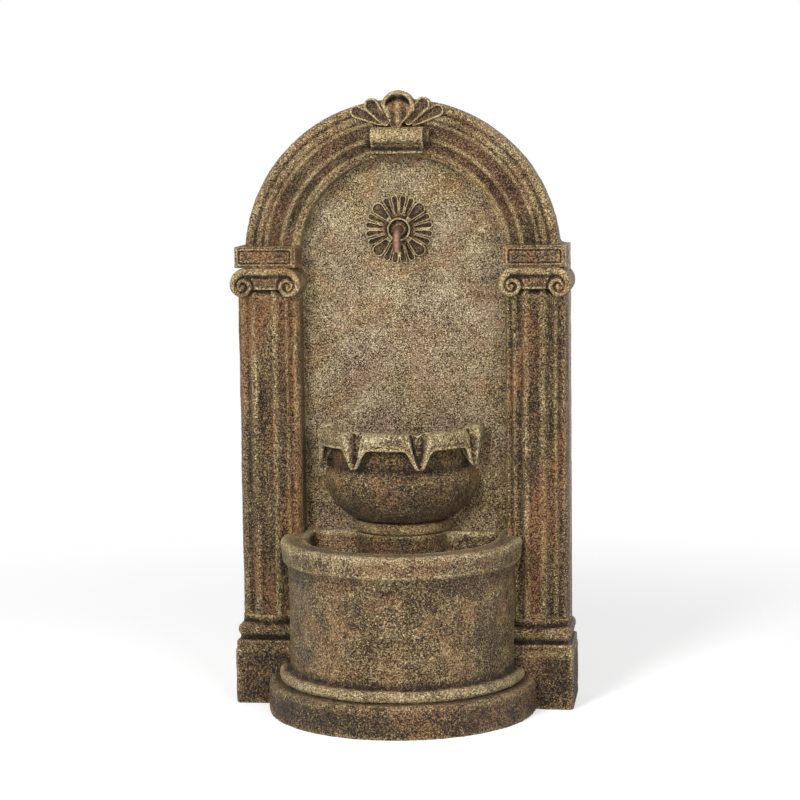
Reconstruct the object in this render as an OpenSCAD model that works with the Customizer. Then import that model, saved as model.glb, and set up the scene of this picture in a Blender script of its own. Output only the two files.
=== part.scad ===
// Arched garden floor fountain: a niche wall with two fluted pilasters, a half-round
// scalloped bowl and a D-shaped basin. X runs across, +Y to the back, +Z up, and the
// origin is on the floor under the middle of the whole fountain. Millimetres.

/* [Wall] */
// Half the width of the back wall beside the pilasters
wall_half_w = 318; // [300:1:330]
// Depth of the hollow wall behind the niche face
wall_depth = 55; // [45:1:90]
// Thickness of the cast wall, panel and skirt
wall_t = 14; // [8:1:20]
// Height of the centre of the arch above the floor
arch_z = 862; // [820:1:1000]
// Outer radius of the arch moulding
arch_r = 303; // [290:1:312]
// Radial width of the arch moulding
arch_w = 106; // [90:1:112]
// Height of the imposts' top above the centre of the arch
impost_rise = 26.5; // [20:0.5:32]
// How far the arch moulding stands in front of the niche face
arch_proj = 50; // [35:1:60]

/* [Pilasters] */
// Width of each pilaster, from the wall's side inwards
pilaster_w = 120; // [112:1:124]
// How far the middle of the shaft stands in front of the niche face
shaft_proj = 72; // [64:1:76]
// How far the shaft falls away from its middle to its edges
shaft_fall = 22; // [10:1:30]
// Depth of the grooves between the reeds
flute_depth = 6; // [3:0.5:8]
// Width of the plinth block
plinth_w = 130; // [116:1:140]
// Height of the plinth block
plinth_h = 110; // [90:1:125]
// How far the plinth stands in front of the niche face
plinth_proj = 85; // [80:1:100]
// Height of the rounded base moulding between plinth and shaft
torus_h = 62; // [50:1:70]
// How far that moulding stands out past the wall's side
base_out = 7; // [4:1:9]
// Height of the impost block on top of the capital
impost_h = 41; // [30:1:50]
// Width of the impost block
impost_w = 118; // [104:1:120]
// Height of the scrolled capital
capital_h = 56; // [50:1:62]
// Overall width of the scrolled capital
capital_w = 136; // [128:1:140]
// How far the capital stands in front of the niche face
capital_proj = 85; // [80:1:95]

/* [Ornament] */
// Height of the shell crest above its foot
crest_h = 69; // [55:1:80]
// Length of the scroll roll under the crest
roll_len = 100; // [90:1:120]
// Radius of the scroll roll
roll_r = 17; // [14:0.5:18]
// Radius of the leaf rosette behind the spout
rosette_r = 68; // [58:1:72]
// Height of the spout above the floor
spout_z = 917; // [895:1:930]
// Sideways offset of the spout, bowl and pump from the centre line, as cast
spout_x = -8; // [-10:1:10]

/* [Bowl] */
// Outer radius of the draped lip of the bowl
lip_r = 164; // [156:1:170]
// Height of the top of the lip above the floor
lip_z = 543; // [530:1:560]
// Depth of the pleats between the lobes
pleat_depth = 15; // [8:1:16]
// Greatest radius of the belly
belly_r = 150; // [142:1:153]
// Thickness of the bowl
bowl_t = 11; // [7:0.5:13]
// Radius of the ring under the bowl
ring_r = 95.5; // [90:0.5:100]
// Height of the ring above the basin rim
ring_h = 28; // [25:1:34]
// Outer radius of the hollow stem that stands in the basin
stem_r = 92; // [86:1:94]
// Wall of the stem
stem_t = 9; // [6:0.5:10]

/* [Basin] */
// Outer radius of the basin body
basin_r = 216; // [205:1:225]
// Height of the top of the basin rim above the floor
basin_z = 333; // [300:1:360]
// How far the rim stands proud of the body
rim_proud = 15.5; // [8:0.5:18]
// Height of the rim band
rim_h = 40; // [30:1:50]
// Width of the top of the rim, front to back
rim_w = 49.5; // [44:0.5:54]
// Thickness of the basin's back
basin_t = 24; // [20:1:25]
// Thickness of the basin floor
floor_t = 26; // [18:1:34]
// Radius of the low step that the body stands on
step_r = 237; // [228:1:245]
// Height of that low step
step_h = 22; // [16:1:30]
// Radius of the bottom slab
slab_r = 257; // [250:1:275]
// Height of the bottom slab
slab_h = 62; // [50:1:75]
// Radius of the drain hole in the basin floor
drain_r = 12; // [8:0.5:16]

/* [Plumbing] */
// Radius of the copper spout tube
tube_r = 8; // [6:0.5:9]
// Wall of the copper tube
tube_t = 1.2; // [0.8:0.1:2]
// Bend radius of the copper tube
tube_bend = 20; // [16:0.5:24]
// Inner radius of the clear hose
hose_r = 5; // [4:0.25:6]
// Wall of the clear hose
hose_t = 1.75; // [1:0.25:2.5]
// Height of the feed pipe through the wall
feed_z = 345; // [344:0.5:347]
// Height of the pump housing
pump_h = 44; // [38:1:50]
// Length of the pump housing
pump_len = 56; // [52:1:58]
// Radius of the impeller blades
impeller_r = 12; // [9:0.5:13]
// Radius of the impeller shaft
impeller_shaft_r = 1.5; // [1:0.25:2.5]
// Number of impeller blades
impeller_blades = 6; // [3:1:8]

/* [Hidden] */
$fn = 64;

clear = 0.3;                                  // gap between a loose piece and its seat
run = 0.05;                                   // radial running clearance
over = 1;                                     // how far a cutter runs past a face
drum_y = -plinth_proj;                        // centre of the basin's half round
depth = wall_depth + plinth_proj + slab_r;
niche_y = depth / 2 - wall_depth;             // the niche face, from the origin
arch_in = arch_r - arch_w;
impost_top = arch_z + impost_rise;
impost_z = impost_top - impost_h;
capital_z = impost_z - capital_h;
shaft_z = plinth_h + torus_h;
pilaster_x = wall_half_w - pilaster_w / 2;    // middle of each pilaster
eye_h = 20;                                   // height of the scrolls' eyes in the capital
scroll_top = capital_h - eye_h;
scroll_w = 10.5;                              // width of the scrolls' band
channel_h = 10;                               // height of the hollow under that band
band_h = 21;                                  // height of the egg band between the scrolls
ring_z = basin_z + clear;
bowl_z = ring_z + ring_h;                     // underside of the bowl
belly_rise = 78;                              // from there to the widest place of the belly
belly_z = bowl_z + belly_rise;
bowl_back = 8;                                // thickness of the bowl's back
pleat_step = 47;                              // angle between pleats
pleat_shift = -4;                             // angle of the front lobe's middle
crest_over = 16;                              // how far the crest reaches above the arch
crest_z = arch_z + arch_r + crest_over - crest_h;
roll_h = 50;                                  // height of the roll and the lip under it
roll_shift = -2;                              // the roll sits a little to the left, as cast
roll_z = crest_z - roll_h;                    // underside of the roll
cavity_r = basin_r + rim_proud - rim_w;
floor_z = slab_h + floor_t;
stem_h = ring_z - floor_z - 2 * clear;
pump_y = -47;                                 // pump and riser line, in front of the niche face
pump_foot = 7;                                // height of the suction cups
pump_z = floor_z + pump_foot;
pump_d = 42;
outlet_set = 10;                              // from the front of the housing to its outlet
pump_x = spout_x + pump_len / 2 - outlet_set;
outlet_x = spout_x - pump_x;
hose_y = wall_t + 27;                         // line of the hose behind the wall
nut_end = wall_t + 10;                        // the elbows start behind the spout's nut
pipe_end = wall_t + 20;                       // the pipes reach this far into the elbows
tube_drop = 22;                               // straight length at the spout's mouth
hose_o = hose_r + hose_t;
barb_r = hose_r - 0.02;                       // the hose is pushed over the barbs
barb_len = 32;
elbow_neck = 8;
feed_r = 6.5;                                 // the feed pipe through the wall
pipe_t = 1.5;
drain_x = 128;
drain_y = drum_y - 60;

// Points of an arc from angle a0 to a1 about c
function arc(c, r, a0, a1, n = 12) =
    [for (i = [0:n]) let(a = a0 + (a1 - a0) * i / n) c + r * [cos(a), sin(a)]];

module at_niche() translate([0, niche_y, 0]) children();
// Turns a solid drawn along +Z so that it points to the front, with its foot at y
module facing(y = 0) translate([0, y, 0]) rotate([90, 0, 0]) children();

module stone() color([0.47, 0.38, 0.25]) children();
module copper() color([0.72, 0.42, 0.3]) children();
module brass() color([0.72, 0.6, 0.32]) children();
module black_plastic() color([0.07, 0.07, 0.08]) children();
module rubber() color([0.1, 0.1, 0.1]) children();
module vinyl() color([0.75, 0.8, 0.8, 0.6]) children();
module ceramic() color([0.9, 0.9, 0.88]) children();

// Back wall

// Outline of the wall, drawn in by t: a rectangle under a round arch
module wall_outline(t = 0, foot = 0) {
    translate([-wall_half_w + t, foot]) square([2 * (wall_half_w - t), impost_top - t - foot]);
    translate([0, arch_z]) circle(r = arch_r - 3 - t);
}

// Hollow casting, open at the back and at the foot
module back_wall() stone() at_niche() difference() {
    facing(wall_depth) linear_extrude(wall_depth) wall_outline();
    facing(wall_depth + over) linear_extrude(wall_depth + over - wall_t)
        wall_outline(wall_t, -over);
    translate([spout_x, 0, spout_z]) facing(wall_t + over)
        cylinder(r = tube_r + 0.5, h = wall_t + 2 * over);
    translate([spout_x, 0, feed_z]) facing(wall_t + over)
        cylinder(r = feed_r + 4, h = wall_t + 2 * over);
}

// Bow between two radii: it stands proud of y where rise is positive and hollow where negative
function bow(r0, r1, y, rise, n = 10) =
    let(half = (r1 - r0) / 2, s = abs(rise), rr = (half * half + s * s) / (2 * s), a = asin(half / rr))
    [for (i = [0:n]) let(t = -a + 2 * a * i / n)
        [(r0 + r1) / 2 + rr * sin(t), y + sign(rise) * (rr * cos(t) - rr + s)]];

// Ridges of the arch moulding, from the inside out: inner and outer share of its width, and rise
ridges = [[0.07, 0.15, 3], [0.30, 0.375, 3], [0.59, 0.665, 3], [0.685, 0.81, 3], [0.84, 1, 5]];
cove_depth = 8;
last_ridge = len(ridges) - 1;
arch_face = arch_proj - 5;
function ridge_in(i) = arch_in + ridges[i][0] * arch_w;
function ridge_out(i) = arch_in + ridges[i][1] * arch_w;
// A cove is as deep as cove_depth, or half as deep as it is wide where it is narrow
function cove(i) = -min(cove_depth, (ridge_in(i + 1) - ridge_out(i)) / 2);
arch_profile = concat([[arch_in, 0], [arch_in, arch_face - 6], [arch_in + 3, arch_face - 1]],
    [for (i = [0:last_ridge]) each concat(
        bow(ridge_in(i), ridge_out(i), arch_face, ridges[i][2], 6),
        i < last_ridge ? bow(ridge_out(i), ridge_in(i + 1), arch_face, cove(i), 8) : [])],
    [[arch_r, 0]]);

// Right half of the flat bed that the crest and its roll are bonded to; top is its height at the crest
function bed_half(top) = [for (p = [[6, -2 - roll_h], [24, -38], [24, -4], [34, 6], [34, crest_h - 28], [8, top]])
    p + [roll_len / 2, crest_z]];
module crest_bed(y0, y1, top) facing(y1) linear_extrude(y1 - y0) {
    half = bed_half(top);
    polygon(concat(half, [for (i = [len(half) - 1:-1:0]) [-half[i][0], half[i][1]]]));
}

module arch_moulding() stone() at_niche() difference() {
    union() {
        translate([0, 0, arch_z]) rotate([90, 0, 0]) rotate_extrude(angle = 180, $fn = 96)
            polygon(arch_profile);
        crest_bed(-arch_face, 0, crest_h - 20);
    }
    crest_bed(-arch_proj - over, -arch_face, crest_h + over);
    translate([-arch_r - over, -arch_proj - over, arch_z - over])
        cube([2 * (arch_r + over), arch_proj + 2 * over, impost_rise + over]);
}

// Pilasters, drawn once about their own middle with +X outwards; side is -1 left, 1 right

module on_side(side) at_niche() translate([side * pilaster_x, 0, 0])
    mirror([side < 0 ? 1 : 0, 0, 0]) children();
half_w = pilaster_w / 2;
return_y = wall_depth;                        // the mouldings return along the wall's side to here

// Keeps a moulding out of the wall that it returns round
module round_wall() difference() {
    children();
    translate([-2 * half_w, 0, -over]) cube([3 * half_w, return_y + over, arch_z + arch_r]);
}
// A block from the pilaster's inner side to out past the wall's side, and back round it
module block(out, proj, z, h) round_wall()
    translate([-half_w, -proj, z]) cube([pilaster_w + out, proj + return_y, h]);

plinth_out = plinth_w - pilaster_w + 1;       // how far the plinth stands out past the wall's side
module plinth() stone() round_wall() {
    chamfer = 4;
    x0 = plinth_out - plinth_w + half_w;
    translate([x0, chamfer - plinth_proj, 0]) cube([plinth_w, plinth_proj - chamfer + return_y, plinth_h]);
    facing(chamfer - plinth_proj) linear_extrude(chamfer)
        translate([x0 + chamfer, 0]) square([plinth_w - 2 * chamfer, plinth_h - chamfer]);
}

// Front of the shaft: a shallow bow, plain or with weathered reeds that differ left and right
function shaft_y(x) = shaft_fall * pow(x / half_w, 2) - shaft_proj;
reeds_left = [[-60, -45], [-42, -33], [-23, -6], [16, 37], [41, 60]];
reeds_right = [[-60, -49], [-47, -35], [-28, -10], [4, 23], [32, 44], [47, 60]];
function reed_points(reeds) = [for (r = reeds, k = [0:6])
    let(x = (r[0] + (r[1] - r[0]) * k / 6) * half_w / 60)
    [x, shaft_y(x) + flute_depth * (1 - sin(30 * k))]];
module shaft_plan(reeds) polygon(concat([[-half_w, 0]], reed_points(reeds), [[half_w, 0]]));
// The same plan without reeds, drawn out by grow, for the pieces that fit round it
module shaft_room(grow) polygon(concat([[-half_w - grow, grow]],
    [for (k = [-10:10]) let(x = k / 10 * (half_w + grow)) [x, shaft_y(x) - grow]], [[half_w + grow, grow]]));

base_fillet = 14;                             // height of the flat band at the foot of the base
base_roll_r = 13.5;
base_roll_z = base_fillet + 6 + base_roll_r;
base_proj = plinth_proj - 4;
module column_base() stone() translate([0, 0, plinth_h]) {
    linear_extrude(torus_h) shaft_room(0);
    block(base_out + 2, base_proj, 0, base_fillet);
    block(1, shaft_proj + 2, 0, base_roll_z);
    block(base_out - base_roll_r, base_proj - base_roll_r, base_roll_z - base_roll_r,
        2 * base_roll_r);
    // the roll, along the front and back round the wall's side
    round_wall() translate([half_w + base_out - base_roll_r, base_roll_r - base_proj, base_roll_z]) {
        rotate([0, -90, 0]) cylinder(r = base_roll_r, h = pilaster_w + base_out - base_roll_r);
        rotate([-90, 0, 0]) cylinder(r = base_roll_r, h = base_proj - base_roll_r + return_y);
        sphere(r = base_roll_r);
    }
}

module shaft(reeds) stone() translate([0, 0, shaft_z]) linear_extrude(capital_z - shaft_z)
    shaft_plan(reeds);

// The scroll winds in from the top edge of the capital to its eye: radius after t turns
function scroll_r(t) = 24 - 12 * t + (scroll_top - 24) * pow(0.01, t);
function scroll_point(t, w) =
    let(a = 90 - 360 * t) max(1, scroll_r(t) - w * pow(0.62, t)) * [cos(a), sin(a)];
scroll_turns = 1.4;
scroll_n = 56;
module scroll_ridge(h) linear_extrude(h) polygon(concat(
    [for (i = [0:scroll_n]) scroll_point(scroll_turns * i / scroll_n, 0)],
    [for (i = [scroll_n:-1:0]) scroll_point(scroll_turns * i / scroll_n, scroll_w)]));
// Whole outline of the rolled end, closed by its last full turn
module bolster(h) linear_extrude(h) polygon([for (i = [0:40]) scroll_point(i / 40, 0)]);

eye_x = capital_w / 2 - scroll_r(0.25);
relief = 8;                                   // how deep the capital's face is carved
// A bar between the two scrolls, set back from their face
module cross_bar(set, z, h) translate([-eye_x, set - capital_proj, z])
    cube([2 * eye_x, capital_proj - set, h]);
module capital(reeds) stone() translate([0, 0, capital_z]) {
    egg_z = capital_h - scroll_w - channel_h - band_h;
    round_wall() for (s = [-1, 1]) translate([s * eye_x, -capital_proj, eye_h])
        rotate([-90, 0, 0]) mirror([0, 1, 0]) mirror([s < 0 ? 1 : 0, 0, 0]) {
            scroll_ridge(relief + over);
            translate([0, 0, relief]) bolster(capital_proj - relief + return_y);
        }
    cross_bar(0, capital_h - scroll_w, scroll_w);
    cross_bar(relief, egg_z + band_h, channel_h);
    cross_bar(4, egg_z, band_h);
    cross_bar(2, egg_z, 4);
    // the shaft carries on up between the scrolls
    linear_extrude(egg_z) shaft_plan(reeds);
}

impost_proj = capital_proj - 2;
module impost() stone() {
    chamfer = 4;
    frame_w = 9;
    groove = 2.2;
    x0 = impost_w / 2;
    difference() {
        union() {
            translate([-x0, chamfer - impost_proj, impost_z])
                cube([impost_w, impost_proj - chamfer, impost_h]);
            translate([chamfer - x0, -impost_proj, impost_z + chamfer])
                cube([impost_w - 2 * chamfer, chamfer + over, impost_h - 2 * chamfer]);
        }
        // sunk line round a plain panel
        facing(groove - impost_proj) linear_extrude(groove + over) difference() {
            panel(x0 - frame_w, frame_w);
            panel(x0 - frame_w - groove, frame_w + groove);
        }
    }
}
// Rectangle on the impost's face, in by edge from its top and bottom
module panel(half, edge) translate([-half, impost_z + edge]) square([2 * half, impost_h - 2 * edge]);

// Crown ornament

roll_proj = 30;                               // how far the roll stands in front of the arch
roll_end = 11;                                // length of each rolled end
roll_c = [roll_proj - roll_r, roll_h - roll_r];
end_r = roll_c[0] - clear;                    // the ends clear the bed behind them
roll_lip = [[0, 0], [roll_proj - 6, 0], [roll_proj - 4, 2], [roll_proj - 5, 5], [roll_proj - 12, 8]];
roll_profile = concat(roll_lip, arc(roll_c, roll_r, -55, 100, 16), [[0, roll_h]]);
module scroll_roll() stone() at_niche() translate([roll_shift, -arch_face, roll_z]) {
    rotate([90, 0, -90]) translate([0, 0, -roll_len / 2]) linear_extrude(roll_len) polygon(roll_profile);
    for (s = [-1, 1]) translate([s * (roll_len + roll_end) / 2, -roll_c[0], roll_c[1]])
        rotate([0, 90, 0]) translate([0, 0, -roll_end / 2 - over]) difference() {
            cylinder(r = end_r, h = roll_end + 2 * over);
            translate([0, 0, s > 0 ? roll_end : -over]) cylinder(r = end_r - 4, h = 2 * over + 1);
        }
}

// Lobes of the shell: [tilt from upright, share of the crest's height, radius of the tip]
lobes = [[0, 1, 31], [35, 0.86, 13], [-35, 0.86, 13], [65, 1.06, 12], [-65, 1.06, 12]];
// One lobe, from the foot of the shell to a round tip, swelled by grow and raised by lift
module lobe(reach, tip, lift, grow) hull() {
    translate([0, reach - tip, lift]) sphere(r = tip + grow, $fn = 32);
    translate([0, 8, lift * 0.5]) sphere(r = 0.4 * tip + grow, $fn = 24);
}
crest_foot = 22;                              // where the lobes spring from, side to side
module at_crest() at_niche() translate([0, -arch_face, crest_z]) rotate([90, 0, 0]) children();
module shell_crest() stone() at_crest() intersection() {
    difference() {
        for (l = lobes) translate([sign(l[0]) * crest_foot / 2, 0, 0]) rotate(-l[0])
            intersection() {
                lobe(l[1] * crest_h, l[2], l[0] == 0 ? 2 : 6, 0);
                translate([-crest_h, -crest_h, 0]) cube([2 * crest_h, 3 * crest_h, l[0] == 0 ? 26 : 19]);
            }
        for (l = lobes) translate([sign(l[0]) * crest_foot / 2, 0, 0]) rotate(-l[0])
            lobe(l[1] * crest_h, l[2], l[2] + (l[0] == 0 ? 10 : 14), -3);
    }
    translate([-2 * crest_h, 0, 0]) cube([4 * crest_h, 2 * crest_h, crest_h]);
}

// Spout rosette: rimmed petals, four broad ones on the diagonals, round a hollow cup
petal_foot = 20;                              // the petals start this far from the middle
rim_foot = 31;                                // and the hollows inside their rims start here
petal_rim = 2.2;
cup_r = 19;
// Outline of one petal from radius foot out, drawn in by t
function petal(len, w, foot, t) =
    let(h = w * (0.3 + 0.7 * (foot - petal_foot) / (len - w - petal_foot)) - t)
    concat(arc([len - w, 0], w - t, -90, 90, 8), [[foot, h], [foot, -h]]);
module rimmed(len, w, h) difference() {
    linear_extrude(h) polygon(petal(len, w, petal_foot, 0));
    translate([0, 0, h - 4]) linear_extrude(4 + over) polygon(petal(len, w, rim_foot, petal_rim));
}
module spout_rosette() stone() at_niche() translate([spout_x, 0, spout_z]) rotate([90, 0, 0]) difference() {
    union() {
        cylinder(r = rosette_r - 5, h = 4);
        for (i = [0:3]) rotate(45 + 90 * i) rimmed(rosette_r, 12, 12);
        for (i = [0:3], a = [-24, -8, 8, 24]) rotate(90 * i + a) rimmed(rosette_r - 2, 7, 9);
        cylinder(r1 = cup_r + 7, r2 = cup_r + 3, h = 14);
    }
    translate([0, 0, 6]) cylinder(r = cup_r, h = 10);
    translate([0, 0, -over]) cylinder(r = tube_r + clear, h = 20);
}

// Upper bowl, a half round against the niche face

module at_spout() at_niche() translate([spout_x, 0, 0]) children();
module half_turn() rotate([0, 0, 180]) rotate_extrude(angle = 180, $fn = 96) children();

// Belly of the bowl: an ellipse below its widest place and a tighter one above
belly_foot = -49;
belly_top = 25;
belly_drop = belly_rise / sin(-belly_foot);
shoulder = 60;
function belly(a, t) = [(belly_r - t) * cos(a), belly_z + ((a < 0 ? belly_drop : shoulder) - t) * sin(a)];
neck_r = belly_r * cos(belly_top);
neck_top = lip_z - 32;                        // the lip sits on the bowl here
function belly_a(i) = belly_foot + (belly_top - belly_foot) * i / 20;
bowl_outer = concat([[0, bowl_z]], [for (i = [0:20]) belly(belly_a(i), 0)], [[neck_r, neck_top]]);
bowl_inner = concat([[neck_r - bowl_t, neck_top]],
    [for (i = [20:-1:0]) belly(belly_a(i), bowl_t)],
    [[0, belly(belly_foot, bowl_t)[1]]]);
module upper_bowl() stone() at_spout() {
    half_turn() polygon(concat(bowl_outer, bowl_inner));
    // the bowl's own back, bonded to the niche face
    intersection() {
        translate([-belly_r, -bowl_back, bowl_z]) cube([2 * belly_r, bowl_back, neck_top - bowl_z]);
        half_turn() polygon(concat(bowl_outer, [[0, neck_top]]));
    }
}

// Draped lip. A pleat is 1 along its middle and 0 from half its width on, by angle from the front
function pleat(a, half) =
    let(b = a - pleat_shift, d = abs(b - pleat_step * (floor(b / pleat_step) + 0.5)))
    max(0, 1 - d / half);
function soft(x) = x * x * (3 - 2 * x);
lip_fall = 37;                                // height of a lobe's drop
hem_drop = 36;                                // how far a pleat's tip hangs below a lobe
hem_t = 8;                                    // thickness of the hem
fall_rows = 7;
// Radius of the fall at share s of the way from the crest to the hem
function fall_r(a, s) = lip_r - 6 * pow(1 - s, 3) - 2 * s
    - pleat_depth * (1 - 0.35 * s) * soft(pleat(a, 8.5 - 5.5 * s));
// Closed section at angle a: inner foot, crest, fall from crest to hem, underside back to the neck
function lip_section(a) =
    let(w = pleat(a, 10.5), v = soft(pleat(a, 8.5)), top = lip_z - 3 - 9 * v,
        hem = lip_z - lip_fall - hem_drop * w)
    concat([[neck_r - bowl_t, neck_top], [neck_r - bowl_t + 2, top - 5], [neck_r - 2, top],
            [lip_r - 14 - pleat_depth * v, top + 3 - 3 * v]],
        [for (k = [0:fall_rows]) let(s = k / fall_rows)
            [fall_r(a, s), top - 3 + (hem - top + 3) * pow(s, 1.15)]],
        [[fall_r(a, 1) - hem_t, hem + 3], [fall_r(a, 1) - 1.5 * hem_t, hem + 12 + 0.4 * hem_drop * w],
         [neck_r + 1, neck_top + 4], [neck_r, neck_top]]);
lip_steps = 150;
module bowl_lip() stone() at_spout() {
    n = len(lip_section(0));
    pts = [for (i = [0:lip_steps]) let(a = -90 + 180 * i / lip_steps)
        for (p = lip_section(a)) [p[0] * sin(a), -p[0] * cos(a), p[1]]];
    sides = [for (i = [0:lip_steps - 1], k = [0:n - 1]) let(p = i * n, q = (k + 1) % n)
        each [[p + k, p + n + q, p + q], [p + k, p + n + k, p + n + q]]];
    ends = [[for (k = [0:n - 1]) k], [for (k = [n - 1:-1:0]) lip_steps * n + k]];
    polyhedron(points = pts, faces = concat(sides, ends));
}

ring_roll = 11;                               // radius of the ring's rounded edge
module bowl_ring() stone() at_spout() difference() {
    half_turn() polygon(concat([[0, bowl_z], [0, ring_z], [ring_r - ring_roll, ring_z]],
        arc([ring_r - ring_roll, ring_z + ring_roll], ring_roll, -80, 80, 12),
        [[ring_r - ring_roll - 4, bowl_z - 6], [ring_r - ring_roll - 6, bowl_z]]));
    // hollow over the stem for the feed pipe
    translate([0, 0, ring_z - over])
        cylinder(r = stem_r - stem_t - 6, h = feed_z + feed_r + 1 - ring_z + over);
}

// Loose half-round cover over the pump, with arched inlets at its foot
inlet_w = 32;
inlet_h = 40;
module bowl_stem() stone() at_spout() difference() {
    translate([0, 0, floor_z + clear]) difference() {
        cylinder(r = stem_r, h = stem_h);
        translate([0, 0, -over]) cylinder(r = stem_r - stem_t, h = stem_h + 2 * over);
    }
    translate([-stem_r - over, -basin_t - clear, floor_z - over])
        cube([2 * (stem_r + over), stem_r + basin_t + over, stem_h + 3 * over]);
    for (a = [-34, 0, 34]) rotate(a) translate([-inlet_w / 2, -stem_r - over, floor_z - over]) {
        cube([inlet_w, 3 * stem_t, inlet_h - inlet_w / 2 + over]);
        translate([inlet_w / 2, 3 * stem_t, inlet_h - inlet_w / 2 + over]) rotate([90, 0, 0])
            cylinder(r = inlet_w / 2, h = 3 * stem_t);
    }
}

// Basin

side_w = wall_half_w - pilaster_w - 2;        // half width between the pilasters
step_roll = step_h / 2;                       // the step is rounded over its whole height
rim_round = 8;
rim_cove = 26;                                // height of the cove under the rim
slab_round = 10;
rim_z = basin_z - rim_h;
rim_r = basin_r + rim_proud;
// Half profiles, from the middle of the foot to the middle of the top
slab_profile = concat([[0, 0], [slab_r, 0]],
    arc([slab_r - slab_round, slab_h - slab_round], slab_round, 0, 90, 8), [[0, slab_h]]);
basin_profile = concat([[0, slab_h]],
    arc([step_r - step_roll, slab_h + step_roll], step_roll, -90, 90, 12),
    [[basin_r, slab_h + step_h], [basin_r, rim_z - rim_cove], [basin_r + 2, rim_z - 14],
     [basin_r + 7, rim_z - 3], [rim_r - 4, rim_z], [rim_r, basin_z - rim_round - 4]],
    arc([rim_r - rim_round, basin_z - rim_round], rim_round, 0, 90, 8), [[0, basin_z]]);

// The room that the pilasters take up beside the basin
module pilaster_room() for (side = [-1, 1]) translate([side * pilaster_x, 0, 0]) {
    mirror([side < 0 ? 1 : 0, 0, 0]) translate([-half_w - 2, drum_y, -over])
        cube([2 * pilaster_w, over - drum_y, shaft_z + clear + over]);
    translate([0, 0, shaft_z]) linear_extrude(basin_z) shaft_room(2 * clear);
}
// D-shaped solid of a half profile: a half round, then straight sides back to the niche
module d_solid(profile) {
    n = len(profile);
    translate([0, drum_y, 0]) half_turn() polygon(profile);
    facing() linear_extrude(-drum_y)
        polygon(concat(profile, [for (i = [n - 2:-1:1]) [-profile[i][0], profile[i][1]]]));
}
// D plan: a half round of radius r, ended early by lip, then w to each side as far as y = -back
module d_plan(r, back, w, lip = 0) {
    intersection() {
        translate([0, drum_y]) circle(r = r, $fn = 96);
        translate([-r, drum_y - r]) square([2 * r, r - lip]);
    }
    translate([-w, drum_y - lip - over]) square([2 * w, lip + over - drum_y - back]);
}

module basin() stone() at_niche() difference() {
    d_solid(basin_profile);
    pilaster_room();
    translate([0, 0, floor_z]) linear_extrude(basin_z) d_plan(cavity_r, basin_t, cavity_r);
    translate([drain_x, drain_y, slab_h - over]) cylinder(r = drain_r, h = floor_t + 2 * over);
}

slab_t = 30;                                  // wall of the slab's skirt
slab_top = 18;                                // thickness of its top
well_r = drain_r + 8;                         // hole in the slab under the drain
module bottom_slab() stone() at_niche() difference() {
    d_solid(slab_profile);
    pilaster_room();
    translate([0, 0, -over]) linear_extrude(slab_h - slab_top + over)
        d_plan(slab_r - slab_t, slab_t, side_w - slab_t, slab_t);
    translate([drain_x, drain_y, 0]) cylinder(r = well_r, h = slab_h + over);
}

module drain_plug() rubber() at_niche() translate([drain_x, drain_y, 0]) {
    plug_r = drain_r - run;
    translate([0, 0, slab_h + 2]) cylinder(r = plug_r, h = floor_t - 2 + clear);
    translate([0, 0, floor_z + clear]) cylinder(r = drain_r + 5, h = 5);
    // pull ring
    translate([0, 0, floor_z + 11]) rotate([90, 0, 0]) rotate_extrude()
        translate([6, 0]) circle(r = 1.8, $fn = 24);
}

// Plumbing

elbow_y = 44;                                 // how far the spout tube reaches in front
module bent_pipe(r, t, bend, back, down) {
    // horizontal run from back to the bend, then straight down
    difference() {
        pipe_core(r, bend, back, down);
        pipe_core(r - t, bend, back + over, down + over);
    }
}
module pipe_core(r, bend, back, down) {
    facing(back) cylinder(r = r, h = back + elbow_y - bend);
    translate([0, bend - elbow_y, -bend]) rotate([0, -90, 0])
        rotate_extrude(angle = -90) translate([bend, 0]) circle(r = r);
    translate([0, -elbow_y, -bend - down]) cylinder(r = r, h = down);
}
module spout_tube() copper() at_niche() translate([spout_x, 0, spout_z])
    bent_pipe(tube_r, tube_t, tube_bend, pipe_end, tube_drop);

module spout_washer() rubber() at_niche() translate([spout_x, 0, spout_z]) facing(wall_t + 2.5) difference() {
    cylinder(r = 16, h = 2.5);
    translate([0, 0, -over]) cylinder(r = tube_r + run, h = 5);
}

module spout_locknut() brass() at_niche() translate([spout_x, 0, spout_z]) facing(wall_t + 9.5) difference() {
    cylinder(r = 14, h = 7, $fn = 6);
    translate([0, 0, -over]) cylinder(r = tube_r + run, h = 9);
}

// Elbow that turns a level pipe of radius r into a hose barb; way is 1 up, -1 down
module barb_elbow(r, way) {
    socket = r + 2.2;
    difference() {
        union() {
            facing(hose_y) cylinder(r = socket, h = hose_y - nut_end);
            translate([0, hose_y, 0]) sphere(r = socket);
            translate([0, hose_y, way < 0 ? -elbow_neck : 0]) cylinder(r = socket, h = elbow_neck);
            translate([0, hose_y, way < 0 ? -barb_len : 0]) cylinder(r = barb_r, h = barb_len);
        }
        facing(hose_y) cylinder(r = r + run, h = hose_y);
        translate([0, hose_y, way < 0 ? -barb_len - over : 0])
            cylinder(r = barb_r - 1.5, h = barb_len + over);
    }
}
module spout_elbow() brass() at_niche() translate([spout_x, 0, spout_z]) barb_elbow(tube_r, -1);
module feed_elbow() black_plastic() at_niche() translate([spout_x, 0, feed_z]) barb_elbow(feed_r, 1);

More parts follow.
